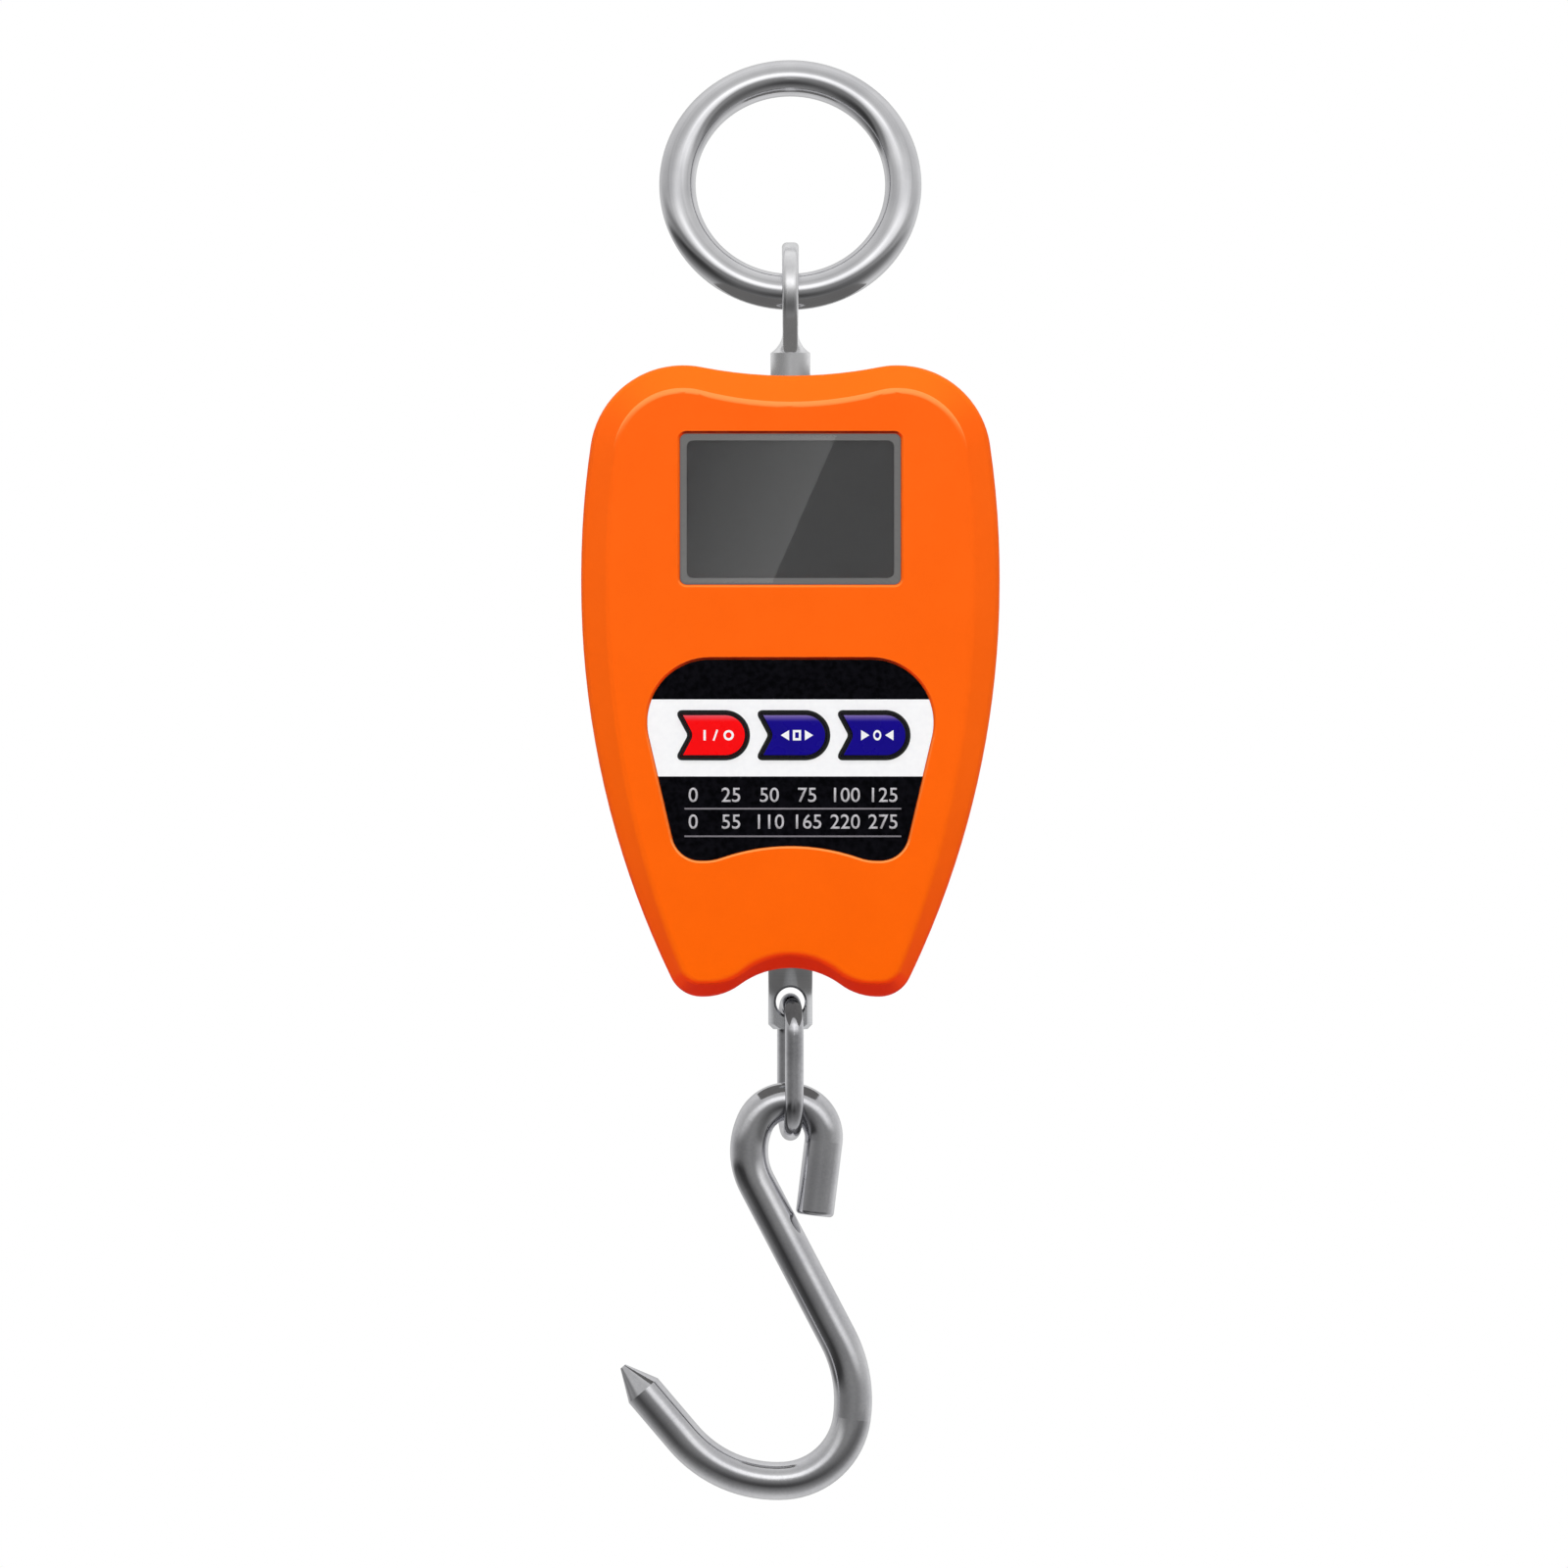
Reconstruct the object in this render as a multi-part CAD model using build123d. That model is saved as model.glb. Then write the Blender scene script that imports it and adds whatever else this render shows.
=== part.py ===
from build123d import *
import os
from math import cos, radians, sin, sqrt

# Digital hanging scale. Lengths are millimetres: X to the right, Y to the back, Z up, front to -Y.
# Heights are taken from the top of the housing's two humps, and depths from its parting plane.
# That plane also holds the load line, along which eye, load cell, post, link and hook hang.
# At the end everything is moved so that the origin lies inside the ring's crown.

# Hanging ring, which leans back about its seat in the eye
ring_wire = 6.7
ring_bore = 34.9
ring_lean = 17.5
seat_play = 0.15

# Upper eye bolt: a flat eye with round edges that narrows to its neck, a flare, a collar and a threaded shank
eye_bore = 7.2
eye_band = 5.6
eye_thickness = 3.1
eye_neck = 2.8
eye_rounding = 0.9
eye_height = 13.65
neck_flare = 4.0
collar_diameter = 7.3
collar_height = 2.5
thread_diameter = 6.0
nut_width = 10.0
nut_height = 5.0

# Housing outline, seen from the front
body_half_width = 38.35
body_height = 115.7
hump_inset = 18.95
dip_depth = 1.9
dip_share = 0.85
side_radius = 165.0
shoulder_radius = 17.0
side_top = 38.6
side_bottom = 40.0
foot_inset = 18.25
foot_radius = 6.1
lobe_inset = 4.2
arch_rise = 5.25
arch_share = 0.58

# Housing depth, walls and bevels
front_depth = 17.5
rear_depth = 19.0
wall = 2.2
front_wall = 2.4
bevel_side = 4.8
bevel_top = 4.8
bevel_foot = 2.6
bevel_dip = 0.7
bevel_depth = 3.2
bevel_foot_inset = 1.2
plateau_rounding = 1.6
bevel_rounding = 2.0
rear_rounding = 3.0
seam_chamfer = 0.25
rim_chamfer = 0.4
lip_width = 1.0
lip_height = 1.5
lip_play = 0.1
rod_play = 0.35
rib_width = 1.2
rib_reach = 4.6
weld = 0.3
over_cut = 1.0

# Display
window_width = 40.4
window_height = 27.6
window_centre = 26.4
window_corner = 1.2
window_thickness = 1.4
window_sink = 0.3
window_ledge = 1.2
fit_play = 0.12
glass_thickness = 1.9
glass_play = 0.2
frame_wall = 1.4
frame_ledge = 1.6
zebra_width = 2.0

# Keypad overlay, its recess and the keys
overlay_top = 54.0
overlay_bottom = 90.7
overlay_margin = 9.15
overlay_taper = 8.6
overlay_shoulder = 11.5
overlay_foot_radius = 5.2
overlay_lobe_inset = 4.8
overlay_arch = 2.7
overlay_share = 0.8
overlay_thickness = 0.45
overlay_sink = 0.3
key_width = 13.4
key_height = 9.2
key_notch = 2.0
key_tip_radius = 0.9
key_tip_reach = 0.45
key_border = 0.35
key_play = 0.3
key_pitch = 14.7
key_centre = 67.8
key_shift = 0.6
key_rise = 0.7
key_dome = 0.45
key_flange = 0.9
key_flange_height = 1.0
key_flange_play = 0.1
key_travel = 0.5
key_names = ("power", "mode", "tare")

# Circuit board and what stands on it
board_half_width = 24.0
board_top = 10.0
board_bottom = 91.0
board_thickness = 1.6
board_front = 10.4
board_corner = 2.5
board_screws = ((21.0, 47.0), (18.0, 87.0))
board_screw_diameter = 2.0
board_screw_head = 3.8
board_screw_head_height = 1.4
board_screw_length = 5.0
board_boss = 4.6
pilot_room = 0.5
switch_size = 6.0
switch_corner = 0.5
switch_height = 2.6
plunger_diameter = 3.3
plunger_depth = 1.2
bore_play = 0.15

# Load cell, an S-shaped beam block
cell_width = 28.0
cell_thickness = 9.0
cell_top = 22.0
cell_height = 64.0
cell_corner = 1.0
beam_height = 14.0
beam_slot = 4.0
beam_column = 5.5
beam_bore = 9.0
beam_bore_x = 6.0
beam_neck = 3.0
gauge_length = 3.0
gauge_width = 3.0
gauge_thickness = 0.3
thread_depth = 12.0
thread_play = 0.05
cell_screw_x = 9.0
cell_screw_drop = 5.0
cell_screw_diameter = 3.0
cell_screw_head = 5.4
cell_screw_head_height = 2.0
cell_screw_bite = 5.0
cell_pillar = 6.0

# Lower post with its cross hole and milled flats
post_diameter = 8.1
post_reach = 6.1
post_hole = 5.3
post_hole_height = 5.04
post_hole_chamfer = 0.4
post_tang = 5.3
post_chamfer = 0.9
post_shoulder_gap = 0.6

# Oval link
link_wire = 3.4
link_length = 23.75
link_half_gap = 4.3
link_twist = 7.0
link_lift = 0.85
hook_play = 0.35

# Hook: one bent wire, listed from the blunt tail to the pointed tip
hook_wire = 7.0
hook_crown_x = -0.45
hook_tail = 13.7
hook_crown_radius = 6.6
hook_crown_angle = 162.7
hook_ease_radius = 12.76
hook_ease_angle = 51.9
hook_shank = 32.06
hook_entry_radius = 24.77
hook_entry_angle = 35.7
hook_bowl_radius = 13.25
hook_bowl_angle = 78.1
hook_exit_radius = 22.54
hook_exit_angle = 53.4
hook_arm = 11.43
hook_point = 5.8
hook_blunt = 1.2
hook_tail_rounding = 0.8
hook_tail_heading = 83.0

# Batteries, their bay and door
battery_diameter = 10.3
battery_length = 44.5
battery_nub = 3.8
battery_nub_height = 0.9
battery_pitch = 11.0
battery_count = 3
bay_top = 34.0
bay_spring_room = 5.2
bay_side_play = 0.75
bay_floor_play = 0.3
bay_wall = 1.2
bay_floor = 5.0
contact_thickness = 0.4
contact_width = 8.0
spring_wire = 0.7
spring_turns = 4
spring_foot_radius = 3.4
spring_taper = 0.4
door_margin = 1.6
door_thickness = 1.6
door_play = 0.25
door_corner = 2.0
leg_x = 10.0
leg_width = 5.0
leg_reach = 1.6
leg_thickness = 1.4
leg_play = 0.2
latch_width = 9.0
latch_nib = 8.0
latch_slot = 0.8
latch_length = 9.0
thumb_depth = 0.7
thumb_width = 12.0
thumb_height = 4.0
door_rib = 1.2
contact_depth = 6.5
contact_tab = 2.0
contact_tab_reach = 1.6

# Housing screws and their bosses: inset from the widest side, and depth below the top
housing_screw_places = ((7.85, 20.5), (18.05, 98.0))
screw_diameter = 2.6
screw_head = 5.2
screw_head_height = 2.0
screw_head_rounding = 0.6
recess_length = 3.0
recess_width = 0.8
recess_depth = 1.2
screw_length = 19.0
screw_seat = 9.0
screw_boss = 7.2
front_boss = 6.2
screw_play = 0.2

# Leads
lead_diameter = 1.3
lead_bend = 2.0
lead_run = 3.0
lead_x = 20.0
cable_diameter = 2.2
cable_bend = 2.0
cable_run = 5.0

# Heights, depths and places that follow from the sizes above
near_enough = 0.01
hump_x = body_half_width - hump_inset
overlay_top_half = body_half_width - overlay_margin
overlay_foot_half = overlay_top_half - overlay_taper
overlay_lobe_x = overlay_foot_half - overlay_lobe_inset
shoulder_depth = bevel_depth - front_depth
housing_screws = [(body_half_width - inset, depth) for inset, depth in housing_screw_places]
ring_radius = (ring_bore + ring_wire) / 2
eye_outer = eye_bore / 2 + eye_band
hinge_height = eye_height + eye_bore / 2 - seat_play - ring_wire / 2
crown_reach = 2 * ring_radius - ring_wire / 2
crown_y = crown_reach * sin(radians(ring_lean))
crown_z = hinge_height + crown_reach * cos(radians(ring_lean))
inner_front = front_wall - front_depth
board_back = board_thickness - board_front
cell_bottom = cell_top + cell_height
beam_centre = cell_top + cell_height / 2
post_tip = body_height + post_reach
post_shoulder = cell_bottom + nut_height + post_shoulder_gap
hole_z = post_hole_height - post_tip
link_top = hole_z - post_hole / 2 + link_wire / 2 + link_lift
link_radius = link_half_gap + link_wire / 2
link_foot = link_top - link_length
crown_height = link_foot + link_wire / 2 + hook_play + hook_wire / 2
overlay_front = overlay_sink - front_depth
overlay_back = overlay_front + overlay_thickness
bay_length = battery_length + bay_spring_room + 2 * contact_thickness
bay_bottom = bay_top + bay_length
bay_half_width = battery_pitch * (battery_count - 1) / 2 + battery_diameter / 2 + bay_side_play
bay_middle = -(bay_top + bay_bottom) / 2
bay_inner = bay_floor + bay_wall
battery_y = bay_inner + bay_floor_play + battery_diameter / 2
door_top = bay_top - door_margin
door_bottom = bay_bottom + door_margin
door_inner = rear_depth - door_thickness
flange_front = inner_front + key_flange_play
plunger_front = flange_front + key_flange_height
switch_front = -board_front - switch_height
battery_xs = [battery_pitch * (n - (battery_count - 1) / 2) for n in range(battery_count)]
tab_x = battery_xs[-1] + (contact_width - contact_tab) / 2
key_xs = [key_shift + key_pitch * (n - 1) for n in range(len(key_names))]
pillar_z = -cell_top - cell_screw_drop


def depth_plane(y):
    """Plane at one depth, seen from the front: its own Y is up."""
    return Plane(origin=(0, y, 0), x_dir=(1, 0, 0), z_dir=(0, -1, 0))


def slab(sketch, front, back):
    """A front-view sketch given depth, from front to back."""
    return extrude(depth_plane(back) * sketch, amount=back - front)


def block(width, height, front, back, x=0.0, z=0.0, corner=0.0):
    """A box in front view, with round corners where asked."""
    face = RectangleRounded(width, height, corner) if corner else Rectangle(width, height)
    return slab(Pos(x, z) * face, front, back)


def rod(diameter, front, back, x=0.0, z=0.0):
    """A cylinder from front to back."""
    return slab(Pos(x, z) * Circle(diameter / 2), front, back)


def bar(diameter, low, high, x=0.0, y=0.0):
    """An upright cylinder."""
    return Pos(x, y, low) * extrude(Circle(diameter / 2), amount=high - low)


def mirrored(places):
    """Each place, given as (x, depth below the top), on both sides of the middle."""
    return [(side * x, -z) for x, z in places for side in (-1, 1)]


def part_way(start, end, share):
    """The point a share of the way from start to end."""
    return (start[0] + (end[0] - start[0]) * share, start[1] + (end[1] - start[1]) * share)


def wave(low, high, share):
    """Two arcs, both level at their ends, that meet part way along the line between them."""
    middle = part_way(low, high, share)
    outwards = 1 if high[0] > low[0] else -1
    first = TangentArc(low, middle, tangent=(outwards, 0))
    second = TangentArc(high, middle, tangent=(-outwards, 0))
    return [first, second]


def corners_at(face, x, z):
    """A face's corners at one height and distance from the middle, on both sides."""
    return [v for v in face.vertices() if abs(abs(v.X) - x) < near_enough and abs(v.Y - z) < near_enough]


def both_sides(edges):
    """The face inside a right half-outline and its mirror image."""
    mirror_edges = [edge.mirror(Plane.YZ) for edge in edges]
    return make_face(Wire(mirror_edges + list(edges)))


def body_outline(side=0.0, top=0.0, foot=0.0, dip=0.0, foot_shift=0.0):
    """The housing seen from the front, drawn in at its sides, top and foot."""
    half = body_half_width - side
    bottom = foot - body_height
    side_bend = side_radius - side
    bend_height = side_top - top
    hump = (hump_x, -top)
    dip_point = (0, -top - dip_depth - dip)
    shoulder = (half - side_bend + sqrt(side_bend**2 - bend_height**2), -top)
    side_high = (half, -side_top)
    side_low = (half, -side_bottom)
    foot_point = (body_half_width - foot_inset - foot_shift, bottom)
    lobe = (foot_point[0] - lobe_inset, bottom)
    arch = (0, bottom + arch_rise)
    edges = wave(dip_point, hump, dip_share)
    edges.append(Line(hump, shoulder))
    edges.append(TangentArc(side_high, shoulder, tangent=(0, 1)))
    edges.append(Line(side_high, side_low))
    edges.append(TangentArc(side_low, foot_point, tangent=(0, -1)))
    edges.append(Line(foot_point, lobe))
    edges.extend(wave(arch, lobe, arch_share))
    face = both_sides(edges)
    face = fillet(corners_at(face, *shoulder), shoulder_radius - top)
    return fillet(corners_at(face, *foot_point), foot_radius - foot)


def overlay_outline():
    """The keypad overlay seen from the front."""
    top_corner = (overlay_top_half, -overlay_top)
    foot_corner = (overlay_foot_half, -overlay_bottom)
    lobe = (overlay_lobe_x, -overlay_bottom)
    arch = (0, overlay_arch - overlay_bottom)
    side = FilletPolyline(
        (0, -overlay_top), top_corner, foot_corner, lobe, radius=(overlay_shoulder, overlay_foot_radius)
    )
    return both_sides(side.edges() + wave(arch, lobe, overlay_share))


def key_outline(inset):
    """One key: notched on the left, round on the right, drawn in all round."""
    half = key_height / 2
    left = -key_width / 2 - key_tip_reach
    notch = key_notch - key_width / 2
    round_start = key_width / 2 - half
    outline = Polyline((round_start, half), (left, half), (notch, 0), (left, -half), (round_start, -half))
    nose = ThreePointArc((round_start, -half), (key_width / 2, 0), (round_start, half))
    face = make_face(Wire(outline.edges() + nose.edges()))
    tips = [v for v in face.vertices() if v.X < notch + near_enough]
    face = fillet(tips, key_tip_radius)
    return offset(face, amount=-inset) if inset else face


def make_ring():
    lean = Rot(90 - ring_lean, 0, 0)
    return Pos(0, 0, hinge_height) * lean * Pos(0, ring_radius, 0) * Torus(ring_radius, ring_wire / 2)


def make_eye_bolt():
    spread = eye_outer * sin(radians(45))
    neck_side = Polygon(
        (-spread, eye_height - spread),
        (-collar_diameter / 2 + weld, collar_height - weld),
        (collar_diameter / 2 - weld, collar_height - weld),
        (spread, eye_height - spread),
        align=None,
    )
    side_view = Pos(0, eye_height) * Circle(eye_outer) + neck_side - Pos(0, eye_height) * Circle(eye_bore / 2)
    eye = extrude(Plane.YZ * side_view, amount=eye_thickness, both=True)
    front_view = Polygon(
        (-eye_thickness / 2, eye_height + eye_outer),
        (-eye_neck / 2, collar_height - weld),
        (eye_neck / 2, collar_height - weld),
        (eye_thickness / 2, eye_height + eye_outer),
        align=None,
    )
    eye &= extrude(Plane.XZ * front_view, amount=eye_outer, both=True)
    sides = eye.faces().sort_by(Axis.X)
    rims = [edge for face in (sides[0], sides[-1]) for edge in face.edges()]
    eye = fillet([edge for edge in rims if edge.center().Z > collar_height], eye_rounding)
    flare_top = (eye_neck / 2, collar_height + neck_flare)
    flare_foot = (collar_diameter / 2, collar_height)
    flare_line = TangentArc(flare_top, flare_foot, tangent=(0, -1))
    flare_edges = Polyline(flare_foot, (0, flare_foot[1]), (0, flare_top[1]), flare_top).edges()
    flare = revolve(Plane.XZ * make_face(Wire([flare_line] + flare_edges)), Axis.Z)
    collar_foot = -dip_depth - wall
    collar = bar(collar_diameter, collar_foot, collar_height)
    shank = bar(thread_diameter, -cell_top - thread_depth, collar_foot)
    return eye + flare + collar + shank


def make_nut(low):
    hexagon = RegularPolygon(nut_width / 2, 6, major_radius=False) - Circle(thread_diameter / 2 + thread_play)
    return Pos(0, 0, low) * extrude(hexagon, amount=nut_height)


def make_load_cell():
    half = cell_thickness / 2
    body = block(cell_width, cell_height, -half, half, z=-beam_centre, corner=cell_corner)
    slot_width = cell_width - beam_column + over_cut
    for side in (1, -1):
        slot_z = side * (beam_height + beam_slot) / 2 - beam_centre
        slot_x = side * (slot_width - cell_width) / 2 - side * over_cut
        body -= block(slot_width, beam_slot, -half, half, x=slot_x, z=slot_z, corner=beam_slot / 4)
        body -= rod(beam_bore, -half, half, x=side * beam_bore_x, z=-beam_centre)
    body -= block(2 * beam_bore_x, beam_neck, -half, half, z=-beam_centre)
    tap = thread_diameter + 2 * thread_play
    body -= bar(tap, -cell_top - thread_depth - over_cut, -cell_top)
    body -= bar(tap, -cell_bottom, -cell_bottom + thread_depth + over_cut)
    for side in (-1, 1):
        hole = cell_screw_diameter + 2 * bore_play
        body -= rod(hole, -half, half, x=side * cell_screw_x, z=pillar_z)
    return body


def make_gauges():
    gauges = []
    for side in (-1, 1):
        for x in (-beam_bore_x, beam_bore_x):
            z = side * (beam_height / 2 + gauge_thickness / 2) - beam_centre
            gauges.append(block(gauge_length, gauge_thickness, -gauge_width / 2, gauge_width / 2, x=x, z=z))
    return gauges


def make_cell_screws():
    seat = -cell_thickness / 2
    tip = cell_thickness / 2 + cell_screw_bite
    screws = []
    for side in (-1, 1):
        place = dict(x=side * cell_screw_x, z=pillar_z)
        head = rod(cell_screw_head, seat - cell_screw_head_height, seat, **place)
        screws.append(head + rod(cell_screw_diameter, seat, tip, **place))
    return screws


def make_post():
    post = bar(post_diameter, -post_tip, -post_shoulder)
    foot = post.edges().group_by(Axis.Z)[0]
    post = chamfer(foot, post_chamfer)
    post += bar(thread_diameter, -post_shoulder, -cell_bottom + thread_depth)
    flat_half = sqrt(post_diameter**2 - post_tang**2) / 2
    sweep_down = Circle(flat_half) + Pos(0, -post_diameter) * Rectangle(2 * post_diameter, 2 * post_diameter)
    for side in (-1, 1):
        near, far = sorted((side * post_tang / 2, side * post_diameter))
        post -= slab(Pos(0, hole_z) * sweep_down, near, far)
        mouth = side * post_tang / 2
        cone_middle = mouth - side * post_hole_chamfer / 2
        countersink = Cone(post_hole / 2 + post_hole_chamfer, post_hole / 2, post_hole_chamfer)
        post -= Pos(0, cone_middle, hole_z) * Rot(90 * side, 0, 0) * countersink
    return post - rod(post_hole, -post_tang, post_tang, z=hole_z)


def swept(path, diameter):
    """A round wire along a path."""
    start = Plane(origin=path @ 0, z_dir=path % 0)
    return sweep(start * Circle(diameter / 2), path=path)


def make_link():
    upper = link_top - link_radius
    lower = link_foot + link_radius
    middle = (upper + lower) / 2
    half_path = Wire(
        [
            Line((0, -link_radius, middle), (0, -link_radius, upper)),
            ThreePointArc((0, -link_radius, upper), (0, 0, link_top), (0, link_radius, upper)),
            Line((0, link_radius, upper), (0, link_radius, middle)),
        ]
    )
    top_half = swept(half_path, link_wire)
    lower_half = mirror(top_half, about=Plane(origin=(0, 0, middle)))
    return Rot(0, 0, link_twist) * (top_half + lower_half)


def hook_path():
    """The hook's centre line in front view, from the tail over the crown to the arm's end."""
    heading = radians(hook_tail_heading)
    crown_middle = Vector(hook_crown_x, crown_height - hook_crown_radius)
    tail_top = crown_middle + Vector(sin(heading), -cos(heading)) * hook_crown_radius
    tail_end = tail_top - Vector(cos(heading), sin(heading)) * hook_tail
    edges = [Line(tail_end, tail_top)]
    bends = (
        (hook_crown_radius, hook_crown_angle),
        (hook_ease_radius, hook_ease_angle),
        (0, hook_shank),
        (hook_entry_radius, -hook_entry_angle),
        (hook_bowl_radius, -hook_bowl_angle),
        (hook_exit_radius, -hook_exit_angle),
        (0, hook_arm),
    )
    for radius, amount in bends:
        end = edges[-1] @ 1
        direction = edges[-1] % 1
        if radius:
            edges.append(JernArc(end, direction, radius, amount))
        else:
            edges.append(Line(end, end + direction * amount))
    return Wire(edges)


def make_hook():
    path = Plane.XZ * hook_path()
    hook = swept(path, hook_wire)
    tail_face = hook.faces().sort_by_distance(path @ 0)[0]
    hook = fillet(tail_face.edges(), hook_tail_rounding)
    arm_end = Plane(origin=path @ 1, z_dir=path % 1)
    point = arm_end * Pos(0, 0, hook_point / 2) * Cone(hook_wire / 2, hook_blunt / 2, hook_point)
    return hook + point


def eye_opening():
    return bar(collar_diameter + 2 * rod_play, -cell_top, eye_height)


def post_opening():
    return bar(post_diameter + 2 * rod_play, -post_tip, -body_height + arch_rise + 2 * wall)


def key_places():
    return [Pos(x, -key_centre) for x in key_xs]


def front_shell(outline, plateau, front):
    """A straight wall from the parting plane, then a bevel that draws in to the plateau."""
    straight = slab(outline, shoulder_depth, 0)
    return straight + loft([depth_plane(shoulder_depth) * outline, depth_plane(front) * plateau], ruled=True)


def make_front_cover():
    outline = body_outline()
    plateau = body_outline(bevel_side, bevel_top, bevel_foot, bevel_dip, bevel_foot_inset)
    cover = front_shell(outline, plateau, -front_depth)
    bevel_start = [edge for edge in cover.edges() if lies_at(edge, shoulder_depth)]
    cover = fillet(bevel_start, bevel_rounding)
    cover = fillet(cover.faces().sort_by(Axis.Y)[0].edges(), plateau_rounding)
    cover = chamfer(cover.faces().sort_by(Axis.Y)[-1].edges(), seam_chamfer)
    cover -= front_shell(offset(outline, amount=-wall), offset(plateau, amount=-wall), inner_front)
    cover -= slab(offset(outline, amount=-(wall - lip_width - lip_play)), -lip_height - lip_play, 0)
    cover += front_bosses()
    cover += front_ribs()
    cover -= window_pocket() + overlay_pocket()
    front_face = cover.faces().sort_by(Axis.Y)[0]
    cover = chamfer([edge for wire in front_face.inner_wires() for edge in wire.edges()], rim_chamfer)
    cover -= window_opening()
    cover -= key_holes()
    return cover - front_pilots() - eye_opening() - post_opening()


def lies_at(edge, depth):
    """Whether an edge lies wholly at one depth."""
    box = edge.bounding_box()
    return abs(box.min.Y - depth) < near_enough and abs(box.max.Y - depth) < near_enough


def front_bosses():
    bosses = [rod(front_boss, inner_front, 0, x, z) for x, z in mirrored(housing_screws)]
    bosses += [rod(board_boss, inner_front, -board_front, x, z) for x, z in mirrored(board_screws)]
    return bosses


def front_ribs():
    """A web from each housing boss to the side wall beside it."""
    ribs = []
    for x, z in mirrored(housing_screws):
        outwards = 1 if x > 0 else -1
        rib_back = -lip_height - lip_width
        ribs.append(block(rib_reach, rib_width, inner_front, rib_back, x + outwards * rib_reach / 2, z))
    inset = wall - weld
    return [rib & slab(body_outline(inset, inset, inset), -front_depth, 0) for rib in ribs]


def front_pilots():
    pilots = []
    for x, z in mirrored(housing_screws):
        pilots.append(rod(screw_diameter, screw_seat - screw_length - pilot_room, 0, x, z))
    pilot_tip = -board_front - board_screw_length + board_thickness
    for x, z in mirrored(board_screws):
        pilots.append(rod(board_screw_diameter, pilot_tip, -board_front, x, z))
    return pilots


def window_pocket():
    width = window_width + 2 * fit_play
    height = window_height + 2 * fit_play
    seat = window_sink + window_thickness - front_depth
    return block(width, height, -front_depth, seat, z=-window_centre, corner=window_corner + fit_play)


def window_opening():
    return block(
        window_width - 2 * window_ledge,
        window_height - 2 * window_ledge,
        -front_depth,
        inner_front,
        z=-window_centre,
        corner=window_corner,
    )


def overlay_pocket():
    return slab(offset(overlay_outline(), amount=fit_play), -front_depth, overlay_back)


def key_holes():
    hole = key_outline(key_border)
    return [slab(place * hole, -front_depth, inner_front) for place in key_places()]


def make_window():
    front = window_sink - front_depth
    back = front + window_thickness
    window = block(window_width, window_height, front, back, z=-window_centre, corner=window_corner)
    return chamfer(window.faces().sort_by(Axis.Y)[0].edges(), window_sink)


def make_lcd_glass():
    front = inner_front + glass_play
    return block(window_width, window_height, front, front + glass_thickness, z=-window_centre)


def make_lcd_frame():
    front = inner_front + glass_play
    inner_width = window_width + 2 * fit_play
    inner_height = window_height + 2 * fit_play
    wide = inner_width + 2 * frame_wall
    high = inner_height + 2 * frame_wall
    frame = block(wide, high, front, -board_front, z=-window_centre, corner=frame_wall)
    frame -= block(inner_width, inner_height, front, front + glass_thickness, z=-window_centre)
    return frame - block(
        inner_width - 2 * frame_ledge,
        inner_height,
        front + glass_thickness,
        -board_front,
        z=-window_centre,
    )


def make_zebras():
    front = inner_front + glass_play + glass_thickness
    reach = (window_height - zebra_width) / 2
    length = window_width - 2 * frame_ledge
    middles = (-window_centre - reach, -window_centre + reach)
    return [block(length, zebra_width, front, -board_front, z=middle) for middle in middles]


def make_overlay():
    overlay = slab(overlay_outline(), overlay_front, overlay_back)
    hole = key_outline(key_border)
    for place in key_places():
        overlay -= slab(place * hole, overlay_front, overlay_back)
    return overlay


def make_key(x):
    """A domed cap with its flange behind the cover, where the retaining edge is wider than the hole."""
    face = Pos(x, -key_centre) * key_outline(key_border + key_play)
    cap = slab(face, overlay_front - key_rise, flange_front)
    cap = fillet(cap.faces().sort_by(Axis.Y)[0].edges(), key_dome)
    hole_size = key_outline(key_border).bounding_box().size
    width = hole_size.X + key_flange
    height = hole_size.Y + key_flange
    flange = block(width, height, flange_front, plunger_front, x, -key_centre, corner=key_flange)
    return cap + flange


def make_plunger(x):
    return rod(plunger_diameter, plunger_front, switch_front + plunger_depth, x, -key_centre)


def make_switches():
    switches = []
    well = plunger_diameter + 2 * bore_play
    for x in key_xs:
        well_floor = switch_front + plunger_depth + key_travel + bore_play
        body = Pos(x, -key_centre) * RectangleRounded(switch_size, switch_size, switch_corner)
        body = slab(body, switch_front, -board_front)
        switches.append(body - rod(well, switch_front, well_floor, x, -key_centre))
    return switches


def make_board():
    height = board_bottom - board_top
    middle = -(board_top + board_bottom) / 2
    board = block(2 * board_half_width, height, -board_front, board_back, z=middle, corner=board_corner)
    for x, z in mirrored(board_screws):
        board -= rod(board_screw_diameter + 2 * bore_play, -board_front, board_back, x, z)
    return board


def make_board_screws():
    screws = []
    tip = -board_front - board_screw_length + board_thickness + pilot_room
    for x, z in mirrored(board_screws):
        head = rod(board_screw_head, board_back, board_back + board_screw_head_height, x, z)
        screws.append(head + rod(board_screw_diameter, tip, board_back, x, z))
    return screws


# Parts on the back of the board: width, height, thickness, x, depth below the top
board_parts = {
    "processor": (10.0, 10.0, 1.4, -9.0, 60.0),
    "converter": (4.0, 10.0, 1.6, 8.0, 52.0),
    "crystal": (8.0, 3.0, 2.4, -9.0, 49.0),
    "capacitor": (4.0, 4.0, 2.6, 9.0, 68.0),
    "cell_socket": (5.0, 6.0, 3.4, 18.0, 69.0),
}


def make_board_parts():
    return [
        block(width, height, board_back, board_back + thickness, x, -z)
        for width, height, thickness, x, z in board_parts.values()
    ]


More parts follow.
